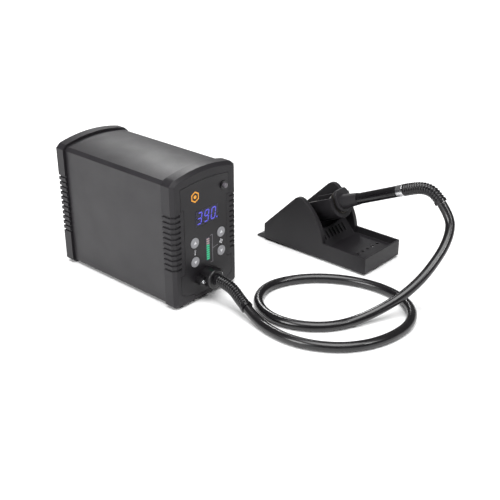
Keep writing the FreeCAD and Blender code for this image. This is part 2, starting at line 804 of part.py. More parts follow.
# ---------------------------------------------------------------- rear fittings
def mains_inlet():
    """Three-pin appliance inlet: flange outside the back wall, shroud inside, blades in its cavity."""
    made = body("mains_inlet", station)
    flange = rectangle(INLET_X, INLET_Z, inlet_wide + fitting_rim, inlet_tall + fitting_rim)
    pad(made, sketch(made, "XZ", [flange], back_face), fitting_lip)
    shroud = rectangle(INLET_X, INLET_Z, inlet_wide - 2 * fit_gap, inlet_tall - 2 * fit_gap)
    pad(made, sketch(made, "XZ", [shroud], back_face - inlet_depth), inlet_depth)
    cavity = rectangle(INLET_X, INLET_Z, inlet_wide - 2 * fitting_wall, inlet_tall - 2 * fitting_wall)
    pocket(made, sketch(made, "XZ", [cavity], back_face - 16), 20)
    blades = [rectangle(INLET_X + dx, INLET_Z + dz, 2, 4) for dx, dz in ((-7, -1.5), (7, -1.5), (0, 3))]
    pad(made, sketch(made, "XZ", blades, back_face - 17), 9)
    return made


def fuse_drawer():
    """Pull-out fuse holder under the inlet."""
    made = body("fuse_drawer", station)
    z = INLET_Z - FUSE_DROP
    wide, tall = inlet_wide - 2 * fitting_wall - 2 * fit_gap, FUSE_TALL - 2 * fit_gap
    pad(made, sketch(made, "XZ", [rectangle(INLET_X, z, wide, tall)], back_face - 16), 16.8)
    notch = rectangle(INLET_X, z - tall / 2 + 0.6, 6, 2.4)
    pocket(made, sketch(made, "XZ", [notch], back_face - 1), 3)
    return made


def switch_housing():
    """Mains switch frame, open towards the rocker."""
    made = body("switch_housing", station)
    flange = rectangle(SWITCH_X, INLET_Z, switch_wide + fitting_rim, switch_tall + fitting_rim)
    pad(made, sketch(made, "XZ", [flange], back_face), fitting_lip)
    shell = rectangle(SWITCH_X, INLET_Z, switch_wide - 2 * fit_gap, switch_tall - 2 * fit_gap)
    pad(made, sketch(made, "XZ", [shell], back_face - 18), 18)
    cavity = rectangle(SWITCH_X, INLET_Z, switch_wide - 2 * fitting_wall, switch_tall - 3)
    pocket(made, sketch(made, "XZ", [cavity], back_face - 9), 12)
    pivot = ("circle", SWITCH_X, back_face - ROCKER_PIVOT_DEPTH, PIN_RADIUS + press_gap)
    reach = switch_tall - 2 * fit_gap - 0.6
    pocket(made, sketch(made, "XY", [pivot], INLET_Z - reach / 2), reach)
    return made


ROCKER_PIVOT_DEPTH = as_size(1)
ROCKER_TILT = as_size(-7)
PIN_RADIUS = as_size(1)


def mains_rocker():
    """Rocker with two faces that meet in a shallow V, on two pins, tilted to its off side."""
    made = body("mains_rocker", station)
    pivot = offset_from(station, SWITCH_X, back_face - ROCKER_PIVOT_DEPTH, INLET_Z)
    place(made, pivot, ROCKER_TILT, about="Z")
    half = (switch_wide - 2 * fitting_wall) / 2 - 0.8
    outline = [(-half, 0), (-4, -5), (4, -5), (half, 0), (half, 1.8), (0, 0.9), (-half, 1.8)]
    tall = switch_tall - 3 - 2 * move_gap
    pad(made, sketch(made, "XY", [outline]), tall, both_ways=True)
    pins = sketch(made, "XY", [("circle", 0, 0, PIN_RADIUS)])
    pad(made, pins, tall + 2.2, both_ways=True)
    return made


def cover_screws():
    """Four pan-head screws through the rear bezel."""
    screws = []
    for number, (x, z) in enumerate(COVER_SCREWS):
        shank = rod(f"cover_shank_{number}", station, x, back_face - back_wall - 6, z, 1.5, back_wall + 6)
        head = rod(f"cover_head_{number}", station, x, back_face, z, 3, 1.6)
        screws.append(fuse(f"cover_screw_{number}", [shank, head]))
    return group("cover_screws", screws)


# ---------------------------------------------------------------- inside the case
floor_z = foot_drop + bezel_lip + plate_wall
# The part of the coil's length that stands out of the core at each end.
COIL_SHARE = 10 / 54


def transformer():
    """Laminated core with its coil standing through the window."""
    start = pump_y + pump_head + pump_length + coil_gap
    length = back_face - inlet_depth - rear_space - start
    inset = length * COIL_SHARE
    core = box("transformer_core", station, 0, start + inset, floor_z, 64, length - 2 * inset, 54)
    coil = box("transformer_coil", station, 0, start, floor_z + 10, 40, length, 34)
    return fuse("transformer", [core, coil])


def air_pump():
    """Diaphragm pump: motor drum, head and outlet nipple that points forward."""
    drum = rod("pump_drum", station, 0, pump_y + pump_head, floor_z + 26, pump_radius, pump_length)
    head = box("pump_head", station, 0, pump_y, floor_z + 8, 36, pump_head, 36)
    nipple = rod("pump_nipple", station, 0, pump_y - 10, flange_z, air_bore, 10)
    return fuse("air_pump", [drum, head, nipple])


def pump_mounts():
    """Rubber saddle blocks that carry the pump off the floor."""
    spots = enumerate((-12, 12))
    blocks = [box(f"pump_block_{n}", station, x, pump_y + 2, floor_z, 8, 10, 8) for n, x in spots]
    return group("pump_mounts", blocks)


def air_tube():
    """Silicone tube from the pump nipple to the flange spigot."""
    length = pump_y - 2.5 - spigot_length
    outer = rod("air_tube_wall", station, 0, spigot_length, flange_z, air_bore + 1.6, length)
    bore = rod("air_tube_bore", station, 0, spigot_length - 1.5, flange_z, air_bore, length + 3)
    return cut("air_tube", outer, bore)


def main_board():
    length = back_face - board_rear_gap - board_start
    return box("main_board", station, 0, board_start, board_z, board_wide, length, board_wall)


def board_pillars():
    """Four spacers that carry the main board, standing on the base plate."""
    rear = back_face - board_rear_gap - pillar_inset
    spots = [(-36, board_start + pillar_inset), (36, board_start + pillar_inset), (-36, rear), (36, rear)]
    pillars = []
    for number, (x, y) in enumerate(spots):
        pillars.append(rod(f"pillar_{number}", station, x, y, floor_z, pillar_radius, board_z - floor_z, "Z"))
    return group("board_pillars", pillars)


def heat_sink():
    """Finned aluminium block on the main board."""
    top = board_z + board_wall
    base = box("heat_sink_base", station, 18, 60, top, 30, 40, 3)
    fins = [box(f"heat_sink_fin_{n}", station, 5 + 6.5 * n, 60, top + 3, 2, 40, 20) for n in range(5)]
    return fuse("heat_sink", [base] + fins)


def capacitors():
    """Two smoothing capacitors on the main board."""
    top = board_z + board_wall
    cans = [rod(f"capacitor_{n}", station, -20, 70 + 22 * n, top, 8, 26, "Z") for n in range(2)]
    return group("capacitors", cans)


# ---------------------------------------------------------------- hose flange
def hose_flange():
    """Connector on the panel: two screw ears and a round boss with the air bore."""
    made = body("hose_flange", station)
    plate = [(-ear_x, flange_z - ear_radius), (ear_x, flange_z - ear_radius)]
    plate += [(ear_x, flange_z + ear_radius), (-ear_x, flange_z + ear_radius)]
    pad(made, sketch(made, "XZ", [plate], -flange_plate), flange_plate)
    ears = [("circle", side * ear_x, flange_z, ear_radius) for side in (-1, 1)]
    pad(made, sketch(made, "XZ", ears, -ear_length), ear_length)
    boss = sketch(made, "XZ", [("circle", 0, flange_z, boss_radius)], -boss_length)
    pad(made, boss, boss_length)
    fillet(made, made.Tip, lambda p: abs(p.y + boss_length.value) < 1e-6, boss_radius / 5)
    spigot = sketch(made, "XZ", [("circle", 0, flange_z, spigot_radius)])
    pad(made, spigot, spigot_length)
    bore = sketch(made, "XZ", [("circle", 0, flange_z, air_bore)], -boss_length - 1)
    pocket(made, bore, boss_length + 20)
    holes = [("circle", side * ear_x, flange_z, screw_hole) for side in (-1, 1)]
    pocket(made, sketch(made, "XZ", holes, -ear_length - 1), ear_length + 3)
    return made


def flange_screws():
    screws = []
    for number, side in enumerate((-1, 1)):
        x = side * ear_x
        reach = ear_length + bezel_face + 2
        shank = rod(f"flange_shank_{number}", station, x, -ear_length, flange_z, shank_radius, reach)
        head = rod(f"flange_head_{number}", station, x, -ear_length - 2, flange_z, 2.3, 2)
        screws.append(fuse(f"flange_screw_{number}", [shank, head]))
    return group("flange_screws", screws)


# ---------------------------------------------------------------- hose and boots
STATION_BOOT_ROUTE = [
    (-91.9, -45.95, 27.0),
    (-91.9, -58.0, 27.0),
    (-93.0, -73.0, 23.8),
    (-96.03, -85.63, 17.48),
    (-99.2, -98.5, 13.0),
]

HOSE_ROUTE = [
    (-99.2, -98.5, 13.0),
    (-104.0, -118.0, 6.2),
    (-109.0, -141.0, 5.5),
    (-109.5, -168.0, 5.5),
    (-101.5, -194.0, 5.5),
    (-85.0, -218.0, 5.5),
    (-61.0, -235.0, 5.5),
    (-32.0, -244.0, 5.5),
    (2.0, -244.0, 5.5),
    (31.0, -228.0, 5.5),
    (47.0, -199.0, 5.5),
    (49.0, -167.0, 5.5),
    (40.6, -135.0, 5.5),
    (23.0, -106.0, 5.5),
    (-2.0, -84.0, 5.5),
    (-34.0, -72.0, 5.5),
    (-65.0, -82.0, 5.5),
    (-83.4, -107.0, 5.5),
    (-87.4, -135.0, 5.5),
    (-78.4, -162.0, 5.5),
    (-59.0, -184.0, 5.5),
    (-33.6, -196.4, 6.2),
    (-7.5, -210.4, 14.4),
    (18.0, -223.0, 26.2),
    (43.0, -229.6, 39.8),
    (62.8, -231.4, 51.8),
    (82.0, -231.0, 63.0),
    (97.0, -228.6, 77.0),
    (104.9, -222.3, 90.6),
    (104.9, -209.9, 104.1),
]

HANDLE_BOOT_ROUTE = [
    (104.9, -209.7, 104.32),
    (104.9, -201.31, 113.45),
    (104.9, -189.5, 116.5),
    (104.9, -175.75, 113.74),
]


def rounded_path(points):
    """Straight runs joined by tangent arcs, as a wire; each arc is as large as its two runs allow."""
    points = [V(*point) for point in points]
    edges = []
    radii = []
    last = points[0]
    for before, corner, after in zip(points, points[1:], points[2:]):
        into, out = corner - before, after - corner
        half_turn = into.getAngle(out) / 2
        reach = 0.45 * min(into.Length, out.Length)
        radii.append(reach / math.tan(half_turn))
        into.normalize()
        out.normalize()
        start, end = corner - into * reach, corner + out * reach
        bisector = (out - into).normalize()
        to_middle = radii[-1] / math.cos(half_turn) - radii[-1]
        middle = corner + bisector * to_middle
        edges.append(Part.LineSegment(last, start).toShape())
        edges.append(Part.Arc(start, middle, end).toShape())
        last = end
    edges.append(Part.LineSegment(last, points[-1]).toShape())
    return Part.Wire(edges), radii


def tube_along(name, points, radius):
    """A round tube along the path, checked against section times length."""
    wire, radii = rounded_path(points)
    start = V(*points[0])
    heading = (V(*points[1]) - start).normalize()
    ring = Part.Wire(Part.Circle(start, heading, radius).toShape())
    solid = wire.makePipeShell([ring], True, False)
    expected = math.pi * radius**2 * wire.Length
    print(f"{name}: length {wire.Length:.1f}, radii {[round(value) for value in radii]}")
    if not solid.isValid() or abs(solid.Volume / expected - 1) > 0.01:
        raise RuntimeError(f"{name}: volume {solid.Volume:.0f}, expected {expected:.0f}")
    made = doc.addObject("Part::Feature", name)
    made.Label = name
    made.Shape = solid
    made.Placement = FreeCAD.Placement()
    return made


# ---------------------------------------------------------------- stand
def cheek_outline():
    """Side view of a cheek: long rear slope, rounded crest, curved brow down to the tray."""
    return [
        (tray_length, stand_skirt),
        (stand_length, stand_skirt),
        (stand_length, tail_height),
        (slope_y, slope_z, crest_radius),
        (crest_y, crest_z, brow_radius),
        (tray_length, tray_height),
    ]


def stand_body():
    """One moulding: two cheeks, floor, slotted web and the tray in front."""
    made = body("stand_body", stand)
    half = stand_width / 2
    pad(made, sketch(made, "YZ", [cheek_outline()]), stand_width, both_ways=True)
    tray = [(-half, 0), (half, 0), (half, tray_length + 1), (-half, tray_length + 1)]
    pad(made, sketch(made, "XY", [tray], stand_skirt), tray_height - stand_skirt)
    sky = crest_z + 20
    back = stand_length - 3
    between = [
        (tray_length + web_wall + 2, stand_skirt + floor_wall),
        (back, stand_skirt + floor_wall),
        (back, sky),
        (tray_length - 2, sky),
        (tray_length - 2, tray_floor),
        (tray_length, tray_floor),
        (tray_length + web_reach, web_top),
        (tray_length + web_reach + web_wall, web_top),
    ]
    inner = stand_width - 2 * cheek_wall
    pocket(made, sketch(made, "YZ", [between]), inner, both_ways=True)
    bowl_half = half - tray_wall
    bowl = rectangle(0, (tray_wall + tray_length) / 2, 2 * bowl_half, tray_length - tray_wall)
    pocket(made, sketch(made, "XY", [bowl], tray_floor), tray_height)
    under = rectangle(0, tray_length / 2, 2 * bowl_half, tray_length - 2 * tray_wall)
    pocket(made, sketch(made, "XY", [under], 0), tray_floor - 2)
    row_start = -hole_pitch * (TRAY_HOLES - 1) / 2
    hole = sketch(made, "XY", [("circle", row_start, 25, 2)], tray_floor - 3)
    repeat(made, pocket(made, hole, 4), "X", hole_pitch, TRAY_HOLES)
    slot_start = -slot_pitch * (WEB_SLOTS - 1) / 2
    slot = sketch(made, "XZ", [rectangle(slot_start, web_top - 7, 2.4, 9)], tray_length)
    repeat(made, pocket(made, slot, web_reach + web_wall + 3), "X", slot_pitch, WEB_SLOTS)
    return made


def stand_base():
    """Steel base plate, set in a little from the walls, with a ramp-like toe behind."""
    made = body("stand_base", stand)
    plate = [
        (2.5, stand_drop),
        (stand_length + toe_length, stand_drop),
        (stand_length + toe_length, stand_skirt),
        (stand_length + 0.3, stand_skirt + toe_rise),
        (stand_length + 0.3, stand_skirt),
        (2.5, stand_skirt),
    ]
    pad(made, sketch(made, "YZ", [plate]), stand_width - 5, both_ways=True)
    return made


STAND_FEET = [(-26, 12), (26, 12), (-26, 150), (26, 150)]


def stand_feet():
    feet = [rod(f"stand_pad_{n}", stand, x, y, 0, 5, stand_drop, "Z") for n, (x, y) in enumerate(STAND_FEET)]
    return group("stand_feet", feet)


DOWEL_DROP = 10
DOWEL_BACK = (34, 44)


def tool_cradle():
    """Open trough with a thick lip at its mouth and an ear each side for the dowels."""
    made = body("tool_cradle", tool)
    outer = [
        (-cradle_radius, 0, cradle_radius),
        (0, -cradle_radius, cradle_radius),
        (cradle_radius, 0),
        (cradle_radius, cradle_rim),
        (-cradle_radius, cradle_rim),
    ]
    pad(made, sketch(made, "XY", [outer], -cradle_length), cradle_length)
    ear_reach = stand_width / 2 - cheek_wall - fit_gap
    ears = []
    for side in (-1, 1):
        inner = (cradle_radius - 2.5) * side
        far = ear_reach * side
        low, high = -DOWEL_DROP - 6, -DOWEL_DROP + 8
        corners = [(inner, low), (far, low), (far, high), (inner, high)]
        ears.append(corners if side > 0 else corners[::-1])
    pad(made, sketch(made, "XY", ears, -cradle_length + 2), 20)
    bores = ((mouth_radius, cradle_length + 2, -cradle_length - 1),)
    bores += ((cradle_radius - cradle_wall, cradle_length - lip_length + 1, -cradle_length - 1),)
    for radius, length, level in bores:
        trough = [(-radius, 0, radius), (0, -radius, radius), (radius, 0), (radius, 30), (-radius, 30)]
        pocket(made, sketch(made, "XY", [trough], level), length)
    for side in (-1, 1):
        holes = [("circle", -DOWEL_DROP, -back, dowel_radius) for back in DOWEL_BACK]
        reach = ear_reach + 1
        level = reach * side if side < 0 else reach - 7
        pocket(made, sketch(made, "YZ", holes, level), 7)
    return made


def cheek_holes(made):
    """Blind holes in the cheeks' inner faces for the cradle dowels."""
    lean = math.radians(tool_lean.value)
    holes = []
    for back in DOWEL_BACK:
        y = mouth_y.value - stand_y.value - DOWEL_DROP * math.cos(lean) + back * math.sin(lean)
        z = mouth_z.value - DOWEL_DROP * math.sin(lean) - back * math.cos(lean)
        holes.append(("circle", y, z, dowel_radius))
    inner = stand_width - 2 * cheek_wall
    pocket(made, sketch(made, "YZ", holes), inner + 2 * dowel_bite, both_ways=True)
    return made


def cradle_dowels():
    """Four steel dowels from the cheeks into the cradle's ears."""
    made = body("cradle_dowels", tool)
    outer = stand_width / 2 - cheek_wall + dowel_bite
    length = dowel_bite + fit_gap + 6
    for side in (-1, 1):
        holes = [("circle", -DOWEL_DROP, -back, dowel_radius) for back in DOWEL_BACK]
        level = -outer if side < 0 else outer - length
        pad(made, sketch(made, "YZ", holes, level), length)
    return made


# ---------------------------------------------------------------- tool
def tool_guard():
    """Guard plate: round below, square-shouldered above, so that the tool doesn't roll."""
    made = body("tool_guard", tool)
    outline = [
        (-guard_radius, 0, guard_radius),
        (0, -guard_radius, guard_radius),
        (guard_radius, 0),
        (guard_radius, guard_top - 4),
        (guard_radius - 3.5, guard_top),
        (-guard_radius + 4.5, guard_top - 0.5),
        (-guard_radius, guard_top - 5),
    ]
    pad(made, sketch(made, "XY", [outline], move_gap), guard_wall)
    bore = sketch(made, "XY", [("circle", 0, 0, heater_radius + press_gap)])
    pocket(made, bore, guard_wall + 1)
    return made


def heater_shroud():
    """Cone behind the guard that centres the tool in the cradle's lip."""
    made = body("heater_shroud", tool)
    bore = heater_radius + press_gap
    widest = mouth_radius - move_gap
    turn(made, [(bore, -14), (bore + 2.4, -14), (widest, -6), (widest, move_gap), (bore, move_gap)])
    return made


def heater_tube():
    made = body("heater_tube", tool)
    inner = heater_radius - heater_wall
    turn(made, [(inner, -heater_length), (heater_radius, -heater_length), (heater_radius, 14), (inner, 14)])
    return made


def heater_core():
    """Ceramic heater inside the tube."""
    made = body("heater_core", tool)
    inner, outer = 1.5, heater_radius - 1.2
    start = -heater_length + 8
    turn(made, [(inner, start), (outer, start), (outer, 10), (inner, 10)])
    return made


def nozzle():
    """Steel nozzle that sleeves over the heater tube and narrows to the outlet."""
    made = body("nozzle", tool)
    sleeve = heater_radius + 1
    end = heater_length + nozzle_length
    outline = [
        (nozzle_tip - heater_wall, -end),
        (nozzle_tip, -end),
        (nozzle_tip, -end + 6),
        (sleeve, -heater_length - 3),
        (sleeve, -heater_length + 8),
        (heater_radius + press_gap, -heater_length + 8),
        (heater_radius + press_gap, -heater_length - 0.1),
        (nozzle_tip - heater_wall, -end + 7),
    ]
    turn(made, outline)
    return made


def handle_grip():
    """Tapered front grip with a bore for the heater tube's end."""
    made = body("handle_grip", tool)
    start = move_gap + guard_wall
    end = start + grip_length
    bore = heater_radius + press_gap
    outline = [
        (bore, start),
        (grip_radius, start),
        (tube_radius + 0.5, end),
        (tube_bore, end),
        (tube_bore, grip_bore_end),
        (bore, grip_bore_end),
    ]
    turn(made, outline)
    return made


def handle_tube():
    made = body("handle_tube", tool)
    start = move_gap + guard_wall + grip_length
    end = start + tube_length
    turn(made, [(tube_bore, start), (tube_radius, start), (tube_radius, end), (tube_bore, end)])
    return made


def handle_ring():
    """Bright ring that clamps the boot to the tube."""
    made = body("handle_ring", tool)
    start = move_gap + guard_wall + grip_length + tube_length
    end = start + ring_length
    outline = [
        (tube_bore, start),
        (ring_radius, start),
        (ring_radius, end - 0.5),
        (ring_radius - 0.5, end),
        (tube_bore - 1.5, end),
        (tube_bore - 1.5, start + 2),
        (tube_bore, start + 2),
    ]
    turn(made, outline)
    return made


# ---------------------------------------------------------------- assembly
for maker in (
    front_bezel,
    rear_bezel,
    outer_cover,
    base_plate,
    rubber_feet,
    front_panel,
    power_collar,
    power_button,
    display_module,
    bar_module,
    control_board,
    board_screws,
    tact_switches,
    power_switch,
    mains_inlet,
    fuse_drawer,
    switch_housing,
    mains_rocker,
    cover_screws,
    transformer,
    air_pump,
    pump_mounts,
    air_tube,
    main_board,
    board_pillars,
    heat_sink,
    capacitors,
    hose_flange,
    flange_screws,
    stand_base,
    stand_feet,
    tool_cradle,
    cradle_dowels,
    tool_guard,
    heater_shroud,
    heater_tube,
    heater_core,
    nozzle,
    handle_grip,
    handle_tube,
    handle_ring,
):
    keep(maker())
keep(cheek_holes(stand_body()))
keep(window("display_window", window_x, window_z, window_wide, window_tall))
keep(window("bar_window", bar_x, bar_z, bar_wide, bar_tall))
for key_name, (key_x, key_z) in KEYS.items():
    keep(key(key_name, key_x, key_z))

ring_end = move_gap + guard_wall + grip_length + tube_length + ring_length
lean_angle = math.radians(tool_lean.value)
boot_start = (
    stand_x.value,
    mouth_y.value - ring_end.value * math.sin(lean_angle),
    mouth_z.value + ring_end.value * math.cos(lean_angle),
)
keep(tube_along("station_boot", STATION_BOOT_ROUTE, boot_radius.value))
keep(tube_along("air_hose", HOSE_ROUTE, hose_radius.value))
keep(tube_along("handle_boot", HANDLE_BOOT_ROUTE + [boot_start], grip_boot_radius.value))

doc.recompute()
for thing in doc.Objects:
    if "Invalid" in thing.State or "Error" in thing.State:
        raise RuntimeError(f"{thing.Label} is {thing.State}")
os.makedirs("parts", exist_ok=True)
for node in nodes:
    shape = node.Shape
    if shape.isNull() or not shape.isValid() or not shape.Solids:
        raise RuntimeError(f"{node.Label} has no valid solid")
    shape.exportStep(f"parts/{node.Label}.step")
whole = Part.makeCompound([node.Shape for node in nodes])
print(f"{len(nodes)} nodes, box {whole.BoundBox}")
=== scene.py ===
"""Looks for a digital hot-air soldering station, its hose, its hot-air tool and the tool's stand.

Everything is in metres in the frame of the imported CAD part: +Z up, the table at Z = 0 and the
front panel facing -Y.
"""

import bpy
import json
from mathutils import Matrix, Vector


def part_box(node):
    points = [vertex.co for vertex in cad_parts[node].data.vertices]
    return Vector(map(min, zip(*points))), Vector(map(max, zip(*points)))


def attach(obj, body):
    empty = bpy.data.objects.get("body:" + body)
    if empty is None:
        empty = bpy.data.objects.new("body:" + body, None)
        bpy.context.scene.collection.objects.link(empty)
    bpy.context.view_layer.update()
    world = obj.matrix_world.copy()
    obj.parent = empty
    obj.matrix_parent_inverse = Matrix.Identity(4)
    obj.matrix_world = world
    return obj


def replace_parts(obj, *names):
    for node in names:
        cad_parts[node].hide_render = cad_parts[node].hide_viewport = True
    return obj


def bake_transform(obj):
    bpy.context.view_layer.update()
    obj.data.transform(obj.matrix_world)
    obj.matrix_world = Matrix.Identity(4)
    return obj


bl_info = {
    "name": "Hot-air soldering station",
    "version": (1, 0, 0),
    "blender": (4, 5, 0),
    "location": "View3D > Sidebar > Station",
    "description": "Finishes, printing, hose, boots and screws for a packed soldering station",
    "category": "Add Mesh",
}

import json
import math

import bmesh
import bpy
from mathutils import Matrix, Vector

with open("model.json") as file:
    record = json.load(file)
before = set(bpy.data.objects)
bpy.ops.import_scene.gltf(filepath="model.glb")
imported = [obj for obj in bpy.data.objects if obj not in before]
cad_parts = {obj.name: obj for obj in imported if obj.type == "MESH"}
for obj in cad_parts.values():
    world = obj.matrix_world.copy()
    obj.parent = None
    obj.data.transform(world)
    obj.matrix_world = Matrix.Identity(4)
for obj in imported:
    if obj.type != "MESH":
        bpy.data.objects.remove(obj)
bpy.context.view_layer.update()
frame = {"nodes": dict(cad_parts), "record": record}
ROOT = "station_and_stand"
TOOL = "hot_air_tool"

# ---------------------------------------------------------------- places taken from the frame
PANEL_LOW, PANEL_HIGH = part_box("front_panel")
PANEL_Y = PANEL_LOW.y
STATION_X = (PANEL_LOW.x + PANEL_HIGH.x) / 2
WINDOW_LOW, WINDOW_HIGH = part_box("display_window")
BAR_LOW, BAR_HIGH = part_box("bar_window")
KEY_NODES = ("heat_up_key", "heat_down_key", "air_up_key", "air_down_key")


def middle(node):
    """The middle of a CAD node's box."""
    low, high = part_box(node)
    return (low + high) / 2


# The hose's route: the same points as the CAD tube's, in metres.
HOSE_ROUTE = [
    (-0.0992, -0.0985, 0.0130),
    (-0.1040, -0.1180, 0.0062),
    (-0.1090, -0.1410, 0.0055),
    (-0.1095, -0.1680, 0.0055),
    (-0.1015, -0.1940, 0.0055),
    (-0.0850, -0.2180, 0.0055),
    (-0.0610, -0.2350, 0.0055),
    (-0.0320, -0.2440, 0.0055),
    (0.0020, -0.2440, 0.0055),
    (0.0310, -0.2280, 0.0055),
    (0.0470, -0.1990, 0.0055),
    (0.0490, -0.1670, 0.0055),
    (0.0406, -0.1350, 0.0055),
    (0.0230, -0.1060, 0.0055),
    (-0.0020, -0.0840, 0.0055),
    (-0.0340, -0.0720, 0.0055),
    (-0.0650, -0.0820, 0.0055),
    (-0.0834, -0.1070, 0.0055),
    (-0.0874, -0.1350, 0.0055),
    (-0.0784, -0.1620, 0.0055),
    (-0.0590, -0.1840, 0.0055),
    (-0.0336, -0.1964, 0.0062),
    (-0.0075, -0.2104, 0.0144),
    (0.0180, -0.2230, 0.0262),
    (0.0430, -0.2296, 0.0398),
    (0.0628, -0.2314, 0.0518),
    (0.0820, -0.2310, 0.0630),
    (0.0970, -0.2286, 0.0770),
    (0.1049, -0.2223, 0.0906),
    (0.1049, -0.2099, 0.1041),
]
STATION_BOOT_ROUTE = [
    (-0.0919, -0.04595, 0.0270),
    (-0.0919, -0.0580, 0.0270),
    (-0.0930, -0.0730, 0.0238),
    (-0.09603, -0.08563, 0.01748),
    (-0.0992, -0.0985, 0.0130),
]
HANDLE_BOOT_ROUTE = [
    (0.1049, -0.16115, 0.1072),
    (0.1049, -0.17575, 0.11374),
    (0.1049, -0.1895, 0.1165),
    (0.1049, -0.20131, 0.11345),
    (0.1049, -0.2097, 0.10432),
]
HOSE_DIAMETER = 0.011


# ---------------------------------------------------------------- settings shown in the sidebar
class StationSettings(bpy.types.PropertyGroup):
    """Sizes and colours of the station that a user may change"""

    charcoal: bpy.props.FloatVectorProperty(
        name="Charcoal",
        description="Colour of the mouldings and the painted cover",
        subtype="COLOR",
        size=3,
        min=0,
        max=1,
        default=(0.0125, 0.0112, 0.0135),
    )
    glow: bpy.props.FloatVectorProperty(
        name="Digit colour",
        description="Colour of the lit digits",
        subtype="COLOR",
        size=3,
        min=0,
        max=1,
        default=(0.058, 0.052, 0.43),
    )
    mark_colour: bpy.props.FloatVectorProperty(
        name="Badge colour",
        description="Colour of the plain badge at the top of the panel",
        subtype="COLOR",
        size=3,
        min=0,
        max=1,
        default=(0.86, 0.36, 0.02),
    )
    reading: bpy.props.IntProperty(
        name="Reading", description="Temperature shown", min=0, max=999, default=390
    )
    air_level: bpy.props.IntProperty(
        name="Air level", description="Lit segments of the bar graph", min=0, max=10, default=7
    )
    digit_height: bpy.props.FloatProperty(
        name="Digit height",
        description="Height of a digit",
        unit="LENGTH",
        min=0.005,
        max=0.02,
        default=0.0142,
    )
    edge_radius: bpy.props.FloatProperty(
        name="Edge radius",
        description="Rounding of the moulded edges",
        unit="LENGTH",
        min=0.0001,
        max=0.001,
        default=0.0004,
    )
    rib_pitch: bpy.props.FloatProperty(
        name="Boot rib pitch",
        description="Distance from rib to rib on the boots",
        unit="LENGTH",
        min=0.001,
        max=0.006,
        default=0.0031,
    )
    rib_height: bpy.props.FloatProperty(
        name="Boot rib height",
        description="Height of a rib above its groove",
        unit="LENGTH",
        min=0.0001,
        max=0.001,
        default=0.0011,
    )


def settings():
    return bpy.context.scene.soldering_station


# ---------------------------------------------------------------- materials
def linear(code):
    """An sRGB hex colour as linear red, green and blue."""
    parts = [int(code[i : i + 2], 16) / 255 for i in (0, 2, 4)]
    return tuple(p / 12.92 if p <= 0.04045 else ((p + 0.055) / 1.055) ** 2.4 for p in parts)


def scaled(colour, share):
    """The colour, darker by the share."""
    return tuple(c * share for c in colour)


def add(tree, kind, setup=None, **inputs):
    """One node; inputs are constants or the outputs that feed them."""
    made = tree.nodes.new(kind)
    for name, value in (setup or {}).items():
        setattr(made, name, value)
    for name, value in inputs.items():
        socket = made.inputs[name.replace("_", " ")]
        if isinstance(value, bpy.types.NodeSocket):
            tree.links.new(value, socket)
        else:
            socket.default_value = value
    return made


def new_material(name):
    made = bpy.data.materials.new(name)
    made.use_nodes = True
    made.node_tree.nodes.clear()
    return made, made.node_tree


def surface(tree, shader):
    output = add(tree, "ShaderNodeOutputMaterial")
    tree.links.new(shader.outputs[0], output.inputs["Surface"])


def pattern(tree, size, detail=3.0):
    """Noise whose features are about size metres across, on the piece's own coordinates."""
    place = add(tree, "ShaderNodeTexCoord")
    noise = add(tree, "ShaderNodeTexNoise", Vector=place.outputs["Object"], Scale=1 / size, Detail=detail)
    return noise.outputs[0]


def between(tree, factor, low, high):
    made = add(tree, "ShaderNodeMapRange", Value=factor, From_Min=0.3, From_Max=0.7, To_Min=low, To_Max=high)
    return made.outputs[0]


def shade(tree, factor, colour, spread):
    """The colour, lighter and darker by spread with the factor."""
    dark = tuple(c * (1 - spread) for c in colour) + (1,)
    light = tuple(min(c * (1 + spread), 1) for c in colour) + (1,)
    mixed = add(tree, "ShaderNodeMix", {"data_type": "RGBA"})
    mixed.inputs[6].default_value = dark
    mixed.inputs[7].default_value = light
    tree.links.new(factor, mixed.inputs[0])
    return mixed.outputs[2]


def finish(name, colour, rough, spread=0.10, grain=0.0006, depth=0.00002, metal=0.0, patch=0.03, **extra):
    """A surface with a fine grain in its relief, and slow changes of colour and roughness."""
    made, tree = new_material(name)
    slow = pattern(tree, patch)
    fine = pattern(tree, grain, detail=2.0)
    relief = add(tree, "ShaderNodeBump", Height=fine, Distance=depth, Strength=1.0)
    body = add(
        tree,
        "ShaderNodeBsdfPrincipled",
        Base_Color=shade(tree, slow, colour, spread),
        Roughness=between(tree, slow, rough - 0.05, rough + 0.05),
        Metallic=metal,
        Normal=relief.outputs[0],
        **extra,
    )
    surface(tree, body)
    return made


def glowing(name, colour, strength):
    """A segment that gives out light: a lit LED, or an idle bar segment whose glow is painted light."""
    made, tree = new_material(name)
    body = add(
        tree,
        "ShaderNodeBsdfPrincipled",
        Base_Color=tuple(colour) + (1,),
        Emission_Color=tuple(colour) + (1,),
        Emission_Strength=strength,
        Roughness=0.4,
    )
    surface(tree, body)
    return made


def clear_lens(name):
    """A smoked window that lets what is behind it show, with a faint painted glow in the digit colour."""
    made, tree = new_material(name)
    slow = pattern(tree, 0.02)
    body = add(
        tree,
        "ShaderNodeBsdfPrincipled",
        Base_Color=shade(tree, slow, scaled(settings().charcoal, 0.6), 0.1),
        Roughness=between(tree, slow, 0.24, 0.32),
        Alpha=0.85,
        # Faint emission in the digit colour: a painted glow of the digits' light in the lens, which is no
        # lamp.
        Emission_Color=tuple(settings().glow) + (1,),
        Emission_Strength=0.045,
    )
    surface(tree, body)
    return made


